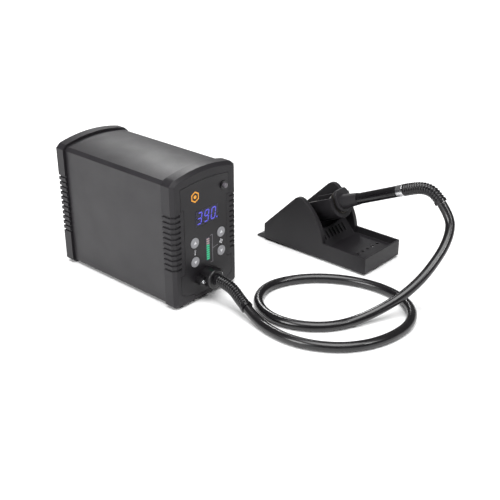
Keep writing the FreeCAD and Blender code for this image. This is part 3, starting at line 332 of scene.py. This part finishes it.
def make_finishes():
    """One material for each of the record's material slots, and a few for pieces made here."""
    coal = tuple(settings().charcoal)
    soft = scaled(coal, 0.42)
    return {
        "case_plastic": finish(
            "case_plastic", coal, 0.48, grain=0.0007, depth=0.00003, Specular_IOR_Level=0.36
        ),
        "cover_paint": finish("cover_paint", coal, 0.46, grain=0.0005, depth=0.00004),
        "plate_steel": finish("plate_steel", coal, 0.5, grain=0.0005, depth=0.00003),
        "panel": finish(
            "panel", scaled(coal, 0.8), 0.38, grain=0.0004, depth=0.000008, Specular_IOR_Level=0.34
        ),
        "window": clear_lens("window"),
        "module": finish("module", linear("1B1A20"), 0.4),
        "key": finish("key", linear("8E8E92"), 0.42, grain=0.0004, depth=0.00001),
        "button": finish("button", linear("5C585E"), 0.25, grain=0.0008, depth=0.000006),
        "black_plastic": finish("black_plastic", soft, 0.38, grain=0.0006, depth=0.00002),
        "rocker": finish("rocker", soft, 0.25, grain=0.0008, depth=0.000006),
        "board": finish("board", linear("1F5A38"), 0.35, grain=0.001, depth=0.00002),
        "screw": finish("screw", linear("B9BABD"), 0.25, metal=1.0, grain=0.0002, depth=0.000003),
        "pillar": finish("pillar", linear("B4B6BA"), 0.32, metal=1.0, grain=0.0002, depth=0.000004),
        "transformer": finish("transformer", linear("4A443C"), 0.55, grain=0.0005, depth=0.00003),
        "pump": finish("pump", linear("55585C"), 0.45),
        "capacitor": finish("capacitor", linear("1B2A55"), 0.3),
        "rubber": finish("rubber", soft, 0.26, grain=0.0005, depth=0.00001),
        "hose": finish(
            "hose", soft, 0.24, grain=0.0011, depth=0.000012, Coat_Weight=0.15, Coat_Roughness=0.35
        ),
        "stand_plastic": finish(
            "stand_plastic", scaled(coal, 0.85), 0.5, grain=0.0007, depth=0.00004, Specular_IOR_Level=0.34
        ),
        "dowel": finish("dowel", linear("B9BABD"), 0.25, metal=1.0),
        "grip": finish("grip", scaled(coal, 0.9), 0.5, grain=0.0007, depth=0.00003),
        "handle": finish("handle", soft, 0.24, grain=0.0009, depth=0.000006),
        "ring": finish("ring", linear("D9D9DB"), 0.16, metal=1.0, grain=0.0004, depth=0.000004),
        "hot_steel": finish("hot_steel", linear("4C4844"), 0.42, metal=1.0, spread=0.2, patch=0.012),
        "ceramic": finish("ceramic", linear("E2DCCB"), 0.5),
        "ink_white": finish("ink_white", linear("D8D8DC"), 0.5, grain=0.0003, depth=0.000004),
        "ink_grey": finish("ink_grey", linear("8A868E"), 0.5, grain=0.0003, depth=0.000004),
        "badge": finish("badge", tuple(settings().mark_colour), 0.4, grain=0.0003, depth=0.000004),
        "digit": glowing("digit", tuple(settings().glow), 1.0),
        "bar_green": glowing("bar_green", linear("1C9C6C"), 0.8),
        # Idle bar segments are not lit; their emission is a painted glow standing in for light falling on
        # them.
        "bar_idle_painted_glow": glowing("bar_idle_painted_glow", linear("8A7A7C"), 0.5),
        "digit_off": finish("digit_off", linear("201E26"), 0.4),
        "floor": finish("floor", linear("FBFBFB"), 0.75, spread=0.01, depth=0.0),
    }


FINISHES = {}


# ---------------------------------------------------------------- mesh helpers
WELD_DISTANCE = 1e-6
FLAT_ANGLE = math.radians(0.3)
SHARP_ANGLE = math.radians(28)


def new_object(name, data):
    """A new object, linked into the scene."""
    made = bpy.data.objects.new(name, data)
    bpy.context.collection.objects.link(made)
    return made


def finished(shape, name):
    """The bmesh as a mesh; the bmesh itself is freed."""
    mesh = bpy.data.meshes.new(name)
    shape.to_mesh(mesh)
    shape.free()
    return mesh


def evaluated(piece):
    """A plain mesh of the object as its modifiers leave it."""
    return bpy.data.meshes.new_from_object(piece.evaluated_get(bpy.context.evaluated_depsgraph_get()))


def keep_mesh(name, mesh, slot, body=ROOT):
    """A finished piece at the origin, with its finish, riding on a CAD body."""
    made = new_object(name, mesh)
    made.data.materials.clear()
    made.data.materials.append(FINISHES[slot])
    if body:
        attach(made, body)
    return made


def smooth(mesh, angle=35):
    mesh.polygons.foreach_set("use_smooth", [True] * len(mesh.polygons))
    mesh.set_sharp_from_angle(angle=math.radians(angle))


def mesh_from(name, vertices, faces, angle=35):
    mesh = bpy.data.meshes.new(name)
    mesh.from_pydata(vertices, [], faces)
    mesh.validate()
    smooth(mesh, angle)
    return mesh


def prism(name, outlines, y_front, y_back, slot, body=ROOT):
    """Flat shapes standing in planes of constant Y. Each outline is a list of (x, z) points."""
    shape = bmesh.new()
    for outline in outlines:
        front = [shape.verts.new((x, y_front, z)) for x, z in outline]
        back = [shape.verts.new((x, y_back, z)) for x, z in outline]
        shape.faces.new(front)
        shape.faces.new(back[::-1])
        for i in range(len(outline)):
            j = (i + 1) % len(outline)
            shape.faces.new((front[j], front[i], back[i], back[j]))
    bmesh.ops.recalc_face_normals(shape, faces=shape.faces)
    return keep_mesh(name, finished(shape, name), slot, body)


def ring_outline(x, z, radius, count, start=0.0):
    """Corners of a regular shape about a middle, the first at the start angle."""
    turns = [start + 2 * math.pi * k / count for k in range(count)]
    return [(x + radius * math.cos(turn), z + radius * math.sin(turn)) for turn in turns]


def bar_outline(x0, z0, x1, z1, stroke):
    """A straight stroke from one point to the other."""
    along = Vector((x1 - x0, z1 - z0)).normalized() * stroke / 2
    across = Vector((-along.y, along.x))
    return [
        (x0 - along.x - across.x, z0 - along.y - across.y),
        (x1 + along.x - across.x, z1 + along.y - across.y),
        (x1 + along.x + across.x, z1 + along.y + across.y),
        (x0 - along.x + across.x, z0 - along.y + across.y),
    ]


def line_through(points):
    """The points along a quadratic NURBS spline with these control points."""
    curve = bpy.data.curves.new("route", "CURVE")
    curve.dimensions = "3D"
    curve.resolution_u = 14
    spline = curve.splines.new("NURBS")
    spline.points.add(len(points) - 1)
    for point, place in zip(spline.points, points):
        point.co = (*place, 1)
    spline.order_u = 3
    spline.use_endpoint_u = True
    route = new_object("route", curve)
    drawn = evaluated(route)
    places = [vertex.co.copy() for vertex in drawn.vertices]
    bpy.data.objects.remove(route)
    bpy.data.curves.remove(curve)
    bpy.data.meshes.remove(drawn)
    return places


def resampled(places, step):
    """The same line with points step metres apart, both ends kept."""
    lengths = [0.0]
    for a, b in zip(places, places[1:]):
        lengths.append(lengths[-1] + (b - a).length)
    count = max(int(round(lengths[-1] / step)), 2)
    made = []
    k = 0
    for i in range(count + 1):
        want = lengths[-1] * i / count
        while k < len(lengths) - 2 and lengths[k + 1] < want:
            k += 1
        share = (want - lengths[k]) / max(lengths[k + 1] - lengths[k], 1e-12)
        made.append(places[k].lerp(places[k + 1], min(max(share, 0), 1)))
    return made, lengths[-1]


def tube(name, places, radius_at, sides=32):
    """A closed tube along the places. radius_at(distance, angle) gives its radius."""
    tangents = []
    for i in range(len(places)):
        ahead, behind = places[min(i + 1, len(places) - 1)], places[max(i - 1, 0)]
        tangents.append((ahead - behind).normalized())
    side = tangents[0].orthogonal().normalized()
    vertices, faces = [], []
    distance = 0.0
    for i, (place, tangent) in enumerate(zip(places, tangents)):
        side = (side - tangent * side.dot(tangent)).normalized()
        other = tangent.cross(side)
        if i:
            distance += (place - places[i - 1]).length
        for k in range(sides):
            angle = 2 * math.pi * k / sides
            reach = radius_at(distance, angle)
            vertices.append(place + (side * math.cos(angle) + other * math.sin(angle)) * reach)
    for i in range(len(places) - 1):
        for k in range(sides):
            a, b = i * sides + k, i * sides + (k + 1) % sides
            faces.append((a, b, b + sides, a + sides))
    faces.append(tuple(range(sides))[::-1])
    last = (len(places) - 1) * sides
    faces.append(tuple(last + k for k in range(sides)))
    return mesh_from(name, vertices, faces, angle=60)


def softened(node, radius, slot, body=ROOT):
    """A CAD node's shape again, with its sharp edges rounded."""
    shape = bmesh.new()
    shape.from_mesh(frame["nodes"][node].data)
    bmesh.ops.remove_doubles(shape, verts=shape.verts, dist=WELD_DISTANCE)
    bmesh.ops.dissolve_limit(
        shape,
        angle_limit=FLAT_ANGLE,
        verts=shape.verts,
        edges=shape.edges,
        use_dissolve_boundaries=False,
    )
    sharp = [
        edge
        for edge in shape.edges
        if len(edge.link_faces) == 2 and edge.calc_face_angle(0) > SHARP_ANGLE
    ]
    bmesh.ops.bevel(
        shape, geom=sharp, offset=radius, offset_type="OFFSET", segments=2, profile=0.5, affect="EDGES"
    )
    bmesh.ops.recalc_face_normals(shape, faces=shape.faces)
    mesh = finished(shape, f"{node}_soft")
    smooth(mesh, 50)
    made = keep_mesh(f"{node}_soft", mesh, slot, None)
    weighted = made.modifiers.new("weighted", "WEIGHTED_NORMAL")
    weighted.keep_sharp = True
    plain = evaluated(made)
    made.modifiers.remove(weighted)
    made.data = plain
    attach(made, body)
    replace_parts(made, node)
    return made


# ---------------------------------------------------------------- geometry nodes
def copies_tree(name):
    """Copies of one shape on a mesh's points, made real, with a finish."""
    tree = bpy.data.node_groups.new(name, "GeometryNodeTree")
    tree.is_modifier = True
    for label, kind, way in (
        ("Points", "NodeSocketGeometry", "INPUT"),
        ("Shape", "NodeSocketObject", "INPUT"),
        ("Scale", "NodeSocketFloat", "INPUT"),
        ("Finish", "NodeSocketMaterial", "INPUT"),
        ("Copies", "NodeSocketGeometry", "OUTPUT"),
    ):
        tree.interface.new_socket(label, in_out=way, socket_type=kind)
    source = tree.nodes.new("NodeGroupInput")
    result = tree.nodes.new("NodeGroupOutput")
    shape = add(tree, "GeometryNodeObjectInfo", Object=source.outputs["Shape"])
    placed = add(
        tree,
        "GeometryNodeInstanceOnPoints",
        Points=source.outputs["Points"],
        Instance=shape.outputs["Geometry"],
        Scale=source.outputs["Scale"],
    )
    real = add(tree, "GeometryNodeRealizeInstances", Geometry=placed.outputs[0])
    painted = add(
        tree, "GeometryNodeSetMaterial", Geometry=real.outputs[0], Material=source.outputs["Finish"]
    )
    tree.links.new(painted.outputs[0], result.inputs["Copies"])
    return tree


def spread(name, shape_mesh, places, slot, body=ROOT, scale=1.0):
    """Copies of a mesh at the places, through the copies tree, as one plain mesh."""
    pattern_object = new_object(f"{name}_one", shape_mesh)
    points = bpy.data.meshes.new(f"{name}_points")
    points.from_pydata([tuple(place) for place in places], [], [])
    holder = new_object(f"{name}_holder", points)
    tree = bpy.data.node_groups.get("copies") or copies_tree("copies")
    modifier = holder.modifiers.new("copies", "NODES")
    modifier.node_group = tree
    chosen = {"Shape": pattern_object, "Scale": scale, "Finish": FINISHES[slot]}
    for item in tree.interface.items_tree:
        if item.in_out == "INPUT" and item.name in chosen:
            modifier[item.identifier] = chosen[item.name]
    holder.update_tag()
    result = evaluated(holder)
    result.name = name
    holder.modifiers.remove(modifier)
    bpy.data.objects.remove(holder)
    bpy.data.objects.remove(pattern_object)
    return keep_mesh(name, result, slot, body)


# ---------------------------------------------------------------- operators
class STATION_OT_finishes(bpy.types.Operator):
    """Make every finish and give the CAD nodes theirs"""

    bl_idname = "station.finishes"
    bl_label = "Finishes"
    bl_options = {"REGISTER", "UNDO"}

    def execute(self, context):
        FINISHES.update(make_finishes())
        for entry in frame["record"]["subparts"]:
            mesh = frame["nodes"][entry["node"]].data
            mesh.materials.clear()
            mesh.materials.append(FINISHES[entry["material_slot"]])
        return {"FINISHED"}


class STATION_OT_hose(bpy.types.Operator):
    """Lay the air hose on its route, from the station's boot to the handle's"""

    bl_idname = "station.hose"
    bl_label = "Air hose"
    bl_options = {"REGISTER", "UNDO"}

    STEP = 0.0025

    def execute(self, context):
        places, _ = resampled(line_through(HOSE_ROUTE), self.STEP)
        shape = tube("air_hose_tube", places, lambda distance, angle: HOSE_DIAMETER / 2)
        hose = keep_mesh("air_hose_tube", shape, "hose", None)
        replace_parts(hose, "air_hose")
        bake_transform(hose)
        return {"FINISHED"}


class STATION_OT_boots(bpy.types.Operator):
    """Make the two ribbed boots"""

    bl_idname = "station.boots"
    bl_label = "Boots"
    bl_options = {"REGISTER", "UNDO"}

    MOUTH = 0.004
    STEPS_PER_RIB = 9

    def ribbed(self, chosen, length, start, end, collar):
        """Radius along a boot: a collar, coil ribs that get finer, and a lip at the mouth."""

        def radius(distance, angle):
            share = distance / length
            core = start + (end - start) * share
            if distance < collar:
                return core + chosen.rib_height * 0.3
            if distance > length - self.MOUTH:
                return core + chosen.rib_height * 0.55
            turn = 2 * math.pi * distance / chosen.rib_pitch - angle
            crest = abs(math.cos(turn / 2)) ** 0.7
            return core + chosen.rib_height * (crest - 0.75) * (1.3 - 0.3 * share)

        return radius

    def execute(self, context):
        chosen = settings()
        for name, route, start, end, collar, body, node in (
            ("station_boot_ribs", STATION_BOOT_ROUTE, 0.0066, 0.0064, 0.006, ROOT, "station_boot"),
            ("handle_boot_ribs", HANDLE_BOOT_ROUTE, 0.0070, 0.0066, 0.0005, TOOL, "handle_boot"),
        ):
            places, length = resampled(line_through(route), chosen.rib_pitch / self.STEPS_PER_RIB)
            shape = tube(name, places, self.ribbed(chosen, length, start, end, collar), sides=36)
            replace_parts(keep_mesh(name, shape, "rubber", body), node)
        return {"FINISHED"}


class STATION_OT_case(bpy.types.Operator):
    """Round the edges of the case mouldings and the stand"""

    bl_idname = "station.case"
    bl_label = "Mouldings"
    bl_options = {"REGISTER", "UNDO"}

    def execute(self, context):
        chosen = settings()
        for node, share, slot in (
            ("front_bezel", 1.0, "case_plastic"),
            ("front_panel", 0.5, "panel"),
            ("stand_body", 1.5, "stand_plastic"),
            ("tool_cradle", 1.3, "stand_plastic"),
            ("mains_inlet", 0.7, "black_plastic"),
            ("fuse_drawer", 0.7, "black_plastic"),
            ("switch_housing", 0.7, "black_plastic"),
        ):
            softened(node, chosen.edge_radius * share, slot)
        softened("tool_guard", chosen.edge_radius * 1.3, "grip", TOOL)
        return {"FINISHED"}


SEGMENTS = {
    0: "abcdef",
    1: "bc",
    2: "abged",
    3: "abgcd",
    4: "fgbc",
    5: "afgcd",
    6: "afgedc",
    7: "abc",
    8: "abcdefg",
    9: "abcdfg",
}


class STATION_OT_display(bpy.types.Operator):
    """Light the three digits and the bar graph behind their windows"""

    bl_idname = "station.display"
    bl_label = "Display"
    bl_options = {"REGISTER", "UNDO"}

    SLANT = 0.16
    STROKE = 0.0013
    GAP = 0.00025
    WIDTH_SHARE = 0.46
    PITCH_SHARE = 0.76
    SHIFT = 0.0008
    DOT_RADIUS = 0.001
    BAR_COUNT = 10
    BAR_GAP = 0.0008
    BAR_MARGIN = 0.0008
    BAR_SIDE = 0.0009

    def segment(self, letter, tall, wide):
        """Corners of one segment of a digit about its middle, a hexagon with pointed ends."""
        half, top = wide / 2, tall / 2
        stroke, gap = self.STROKE / 2, self.GAP
        spans = {
            "a": ((-half, top), (half, top)),
            "b": ((half, 0), (half, top)),
            "c": ((half, -top), (half, 0)),
            "d": ((-half, -top), (half, -top)),
            "e": ((-half, -top), (-half, 0)),
            "f": ((-half, 0), (-half, top)),
            "g": ((-half, 0), (half, 0)),
        }
        (x0, z0), (x1, z1) = spans[letter]
        if z0 == z1:
            x0, x1 = x0 + gap, x1 - gap
            return [
                (x0, z0),
                (x0 + stroke, z0 - stroke),
                (x1 - stroke, z0 - stroke),
                (x1, z0),
                (x1 - stroke, z0 + stroke),
                (x0 + stroke, z0 + stroke),
            ]
        z0, z1 = z0 + gap, z1 - gap
        return [
            (x0, z0),
            (x0 + stroke, z0 + stroke),
            (x0 + stroke, z1 - stroke),
            (x0, z1),
            (x0 - stroke, z1 - stroke),
            (x0 - stroke, z0 + stroke),
        ]

    def execute(self, context):
        chosen = settings()
        tall = chosen.digit_height - self.STROKE
        wide = tall * self.WIDTH_SHARE
        pitch = chosen.digit_height * self.PITCH_SHARE
        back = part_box("display_module")[0].y
        centre = (WINDOW_LOW + WINDOW_HIGH) / 2
        lit, dark = [], []
        for place, figure in enumerate(f"{chosen.reading:03d}"):
            x = centre.x + (place - 1) * pitch - self.SHIFT
            for letter in "abcdefg":
                outline = [
                    (x + px + pz * self.SLANT, centre.z + pz) for px, pz in self.segment(letter, tall, wide)
                ]
                (lit if letter in SEGMENTS[int(figure)] else dark).append(outline)
        x = centre.x + pitch + wide * 0.78
        z = centre.z - tall / 2
        lit.append(ring_outline(x, z, self.DOT_RADIUS, 8))
        front = WINDOW_LOW.y - 0.00006
        prism("digits_lit", lit, front, front + 0.0001, "digit")
        if dark:
            prism("digits_dark", dark, back - 0.00015, back - 0.00005, "digit_off")

        low, high = BAR_LOW.z + self.BAR_MARGIN, BAR_HIGH.z - self.BAR_MARGIN
        step = (high - low) / self.BAR_COUNT
        half = (BAR_HIGH.x - BAR_LOW.x) / 2 - self.BAR_SIDE
        block = bmesh.new()
        size = Matrix.Diagonal((half * 2, 0.0001, step - self.BAR_GAP, 1))
        bmesh.ops.create_cube(block, size=1, matrix=size)
        bmesh.ops.bevel(
            block, geom=block.edges[:], offset=0.00003, segments=1, profile=0.5, affect="EDGES"
        )
        shape = finished(block, "bar_block")
        x = (BAR_LOW.x + BAR_HIGH.x) / 2
        rows = [(x, BAR_LOW.y - 0.00005, low + step * (k + 0.5)) for k in range(self.BAR_COUNT)]
        if chosen.air_level:
            spread("bar_lit", shape, rows[: chosen.air_level], "bar_green")
        if chosen.air_level < self.BAR_COUNT:
            # The idle segments' faint glow is painted light, not LED light.
            spread("bar_unlit", shape, rows[chosen.air_level :], "bar_idle_painted_glow")
        return {"FINISHED"}


class STATION_OT_printing(bpy.types.Operator):
    """Print the panel's symbols, the key arrows and a plain badge"""

    bl_idname = "station.printing"
    bl_label = "Printing"
    bl_options = {"REGISTER", "UNDO"}

    INK = 0.00006
    BADGE_RADIUS = 0.0066
    BADGE_STROKE = 0.0017
    BADGE_DOT = 0.0021
    ARROW_REACH = 0.0023

    def execute(self, context):
        front, back = PANEL_Y - self.INK, PANEL_Y + self.INK
        left, right = middle("heat_up_key"), middle("air_up_key")
        rows = (left.z + middle("heat_down_key").z) / 2

        # thermometer: a stem with ticks and a bulb
        stem = bar_outline(left.x, rows - 0.0016, left.x, rows + 0.0026, 0.0007)
        bulb = ring_outline(left.x, rows - 0.0022, 0.0009, 20)
        ticks = [
            bar_outline(left.x + 0.0009, rows + dz, left.x + 0.0015, rows + dz, 0.0003)
            for dz in (-0.0004, 0.0009, 0.0022)
        ]
        prism("heat_symbol", [stem, bulb] + ticks, front, back, "ink_white")

        # fan: four curved blades round a hub
        blades = []
        for k in range(4):
            turn = k * math.pi / 2
            centre_x = right.x + 0.0019 * math.cos(turn)
            centre_z = rows + 0.0019 * math.sin(turn)
            blade = []
            for j in range(18):
                angle = 2 * math.pi * j / 18
                along, across = 0.0015 * math.cos(angle), 0.0006 * math.sin(angle)
                lean = turn + 0.9
                blade.append(
                    (
                        centre_x + along * math.cos(lean) - across * math.sin(lean),
                        centre_z + along * math.sin(lean) + across * math.cos(lean),
                    )
                )
            blades.append(blade)
        blades.append(ring_outline(right.x, rows, 0.0006, 16))
        for number, blade in enumerate(blades):
            prism(f"air_symbol_{number}", [blade], front, back, "ink_white")

        # bracket beside the bar graph, with a stem to the fan
        rail = BAR_HIGH.x + 0.0040
        low, high = BAR_LOW.z - 0.0036, BAR_HIGH.z + 0.0012
        mid = (low + high) / 2
        pieces = (
            (rail, low, rail, high),
            (rail - 0.0034, low, rail - 0.0003, low),
            (rail - 0.0034, high, rail - 0.0003, high),
            (rail + 0.0003, mid, right.x - 0.0052, mid + 0.0014),
        )
        for number, piece in enumerate(pieces):
            prism(f"bracket_{number}", [bar_outline(*piece, 0.0004)], front, back, "ink_grey")

        # plain badge: a hexagonal nut outline made of six strokes, round a dot
        x, z = STATION_X - 0.0155, WINDOW_HIGH.z + 0.0178
        corners = ring_outline(x, z, self.BADGE_RADIUS, 6, math.pi / 6)
        inner = ring_outline(x, z, self.BADGE_RADIUS - self.BADGE_STROKE, 6, math.pi / 6)
        sides = []
        for k in range(6):
            j = (k + 1) % 6
            sides.append([corners[k], corners[j], inner[j], inner[k]])
        for number, outline in enumerate(sides):
            prism(f"badge_side_{number}", [outline], front, back, "badge")
        prism("badge_dot", [ring_outline(x, z, self.BADGE_DOT, 24)], front, back, "badge")

        # arrows on the keys
        reach = self.ARROW_REACH
        for node in KEY_NODES:
            centre = middle(node)
            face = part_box(node)[0].y
            way = 1 if "_up_" in node else -1
            arrow = [
                (centre.x - reach, centre.z - way * reach * 0.6),
                (centre.x + reach, centre.z - way * reach * 0.6),
                (centre.x, centre.z + way * reach),
            ]
            front, back = face - self.INK, face + self.INK
            prism(f"{node}_arrow", [arrow[::way]], front, back, "ink_white", f"{node}_body")
        return {"FINISHED"}


class STATION_OT_screws(bpy.types.Operator):
    """Give the flange and the rear their cross-head screws"""

    bl_idname = "station.screws"
    bl_label = "Screws"
    bl_options = {"REGISTER", "UNDO"}

    def head(self, name, radius, tall, towards):
        """A domed head on a plane, with a cross recess. towards is -1 for -Y and 1 for +Y."""
        rings, sides = 9, 48
        arm, span, deep = radius * 0.16, radius * 0.62, tall * 0.45
        turns = [2 * math.pi * k / sides for k in range(sides)]
        vertices = [(radius * math.cos(turn), 0, radius * math.sin(turn)) for turn in turns]
        for ring in range(rings):
            share = ring / rings
            reach = radius * (1 - share) * (1 if ring else 0.98)
            for k in range(sides):
                angle = 2 * math.pi * k / sides
                x, z = reach * math.cos(angle), reach * math.sin(angle)
                rise = tall * (0.45 + 0.55 * math.sqrt(max(1 - (reach / radius) ** 2, 0)))
                near, far = sorted((abs(x), abs(z)))
                in_cross = near < arm and far < span
                vertices.append((x, towards * (rise - (deep if in_cross else 0)), z))
        vertices.append((0, towards * (tall - deep), 0))
        faces = [tuple(range(sides))]
        for ring in range(rings):
            for k in range(sides):
                a, b = ring * sides + k, ring * sides + (k + 1) % sides
                faces.append((a, b, b + sides, a + sides))
        top = rings * sides
        faces += [(top + k, top + (k + 1) % sides, len(vertices) - 1) for k in range(sides)]
        shape = bmesh.new()
        made = [shape.verts.new(v) for v in vertices]
        for face in faces:
            shape.faces.new([made[i] for i in face])
        bmesh.ops.recalc_face_normals(shape, faces=shape.faces)
        mesh = finished(shape, name)
        smooth(mesh, 40)
        return mesh

    def execute(self, context):
        low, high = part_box("flange_screws")
        radius, tall = (high.z - low.z) / 2, 0.002
        z = (low.z + high.z) / 2
        places = [(low.x + radius, low.y + tall, z), (high.x - radius, low.y + tall, z)]
        heads = spread("flange_screw_heads", self.head("flange_head", radius, tall, -1), places, "screw")
        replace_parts(heads, "flange_screws")
        low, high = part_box("cover_screws")
        radius, tall = 0.003, 0.0016
        side = (low.x + high.x) / 2
        spots = []
        for offset, height in ((0.037, low.z + radius), (0.036, high.z - radius)):
            spots += [(side - offset, high.y - tall, height), (side + offset, high.y - tall, height)]
        heads = spread("cover_screw_heads", self.head("cover_head", radius, tall, 1), spots, "screw")
        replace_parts(heads, "cover_screws")
        return {"FINISHED"}


class STATION_OT_stage(bpy.types.Operator):
    """Set the floor, the light and the camera"""

    bl_idname = "station.stage"
    bl_label = "Stage"
    bl_options = {"REGISTER", "UNDO"}

    CAMERA_PLACE = (-0.71715, -0.65465, 0.48557)
    CAMERA_BACK = (-0.6714, -0.5996, 0.4355)
    LENS = 62.91
    SENSOR_WIDTH = 36
    CLIP_START, CLIP_END = 0.01, 50
    FLOOR_REACH = 20.0
    WORLD_LIGHT = 0.16
    CEILING_POWER = 3.3
    CEILING_ANGLE = math.radians(50)
    CEILING_TILT = (math.radians(10), math.radians(-8), 0)
    # each lamp's name, place, aim, width and power
    LAMPS = (
        ("side_light", (-2.0, 0.1, 0.9), (0, 0, 0.08), 1.0, 26),
        ("rim_light", (1.2, 1.4, 1.5), (0, 0, 0.05), 0.5, 16),
        ("front_light", (0.2, -1.6, 1.5), (0, -0.1, 0.02), 0.35, 8),
    )

    def lamp(self, name, place, aim, size, power):
        light = bpy.data.lights.new(name, "AREA")
        light.shape = "DISK"
        light.size = size
        light.energy = power
        made = new_object(name, light)
        made.location = place
        made.rotation_mode = "QUATERNION"
        made.rotation_quaternion = (Vector(aim) - Vector(place)).to_track_quat("-Z", "Y")

    def execute(self, context):
        reach = self.FLOOR_REACH
        floor = mesh_from(
            "floor",
            [(-reach, -reach, 0), (reach, -reach, 0), (reach, reach, 0), (-reach, reach, 0)],
            [(0, 1, 2, 3)],
        )
        ground = new_object("floor", floor)
        floor.materials.append(FINISHES["floor"])
        world = bpy.data.worlds.new("studio")
        bpy.context.scene.world = world
        world.use_nodes = True
        sky = world.node_tree.nodes["Background"]
        sky.inputs["Color"].default_value = (1.0, 1.0, 1.0, 1)
        sight = add(world.node_tree, "ShaderNodeLightPath")
        ray = sight.outputs["Is Camera Ray"]
        seen = add(world.node_tree, "ShaderNodeMapRange", Value=ray, To_Min=self.WORLD_LIGHT, To_Max=1.0)
        world.node_tree.links.new(seen.outputs[0], sky.inputs["Strength"])
        for lamp in self.LAMPS:
            self.lamp(*lamp)
        sun = bpy.data.lights.new("ceiling", "SUN")
        sun.energy = self.CEILING_POWER
        sun.angle = self.CEILING_ANGLE
        ceiling = new_object("ceiling", sun)
        ceiling.rotation_euler = self.CEILING_TILT
        bpy.context.scene.view_settings.view_transform = "Standard"
        camera = bpy.data.cameras.new("camera")
        camera.lens = self.LENS
        camera.sensor_width = self.SENSOR_WIDTH
        camera.clip_start, camera.clip_end = self.CLIP_START, self.CLIP_END
        made = new_object("camera", camera)
        made.location = self.CAMERA_PLACE
        made.rotation_mode = "QUATERNION"
        made.rotation_quaternion = (-Vector(self.CAMERA_BACK)).to_track_quat("-Z", "Y")
        bpy.context.scene.camera = made
        return {"FINISHED"}


OPERATORS = (
    STATION_OT_finishes,
    STATION_OT_stage,
    STATION_OT_boots,
    STATION_OT_hose,
    STATION_OT_case,
    STATION_OT_display,
    STATION_OT_printing,
    STATION_OT_screws,
)


class STATION_PT_panel(bpy.types.Panel):
    """The station's sizes, colours and steps"""

    bl_idname = "STATION_PT_panel"
    bl_label = "Soldering station"
    bl_space_type = "VIEW_3D"
    bl_region_type = "UI"
    bl_category = "Station"

    def draw(self, context):
        chosen = settings()
        for name in StationSettings.__annotations__:
            self.layout.prop(chosen, name)
        for operator in OPERATORS:
            self.layout.operator(operator.bl_idname)


CLASSES = (StationSettings, *OPERATORS, STATION_PT_panel)


def register():
    for item in CLASSES:
        bpy.utils.register_class(item)
    bpy.types.Scene.soldering_station = bpy.props.PointerProperty(type=StationSettings)


def unregister():
    del bpy.types.Scene.soldering_station
    for item in reversed(CLASSES):
        bpy.utils.unregister_class(item)


def main():
    register()
    for operator in OPERATORS:
        group, name = operator.bl_idname.split(".")
        getattr(getattr(bpy.ops, group), name)()


if __name__ == "__main__":
    main()
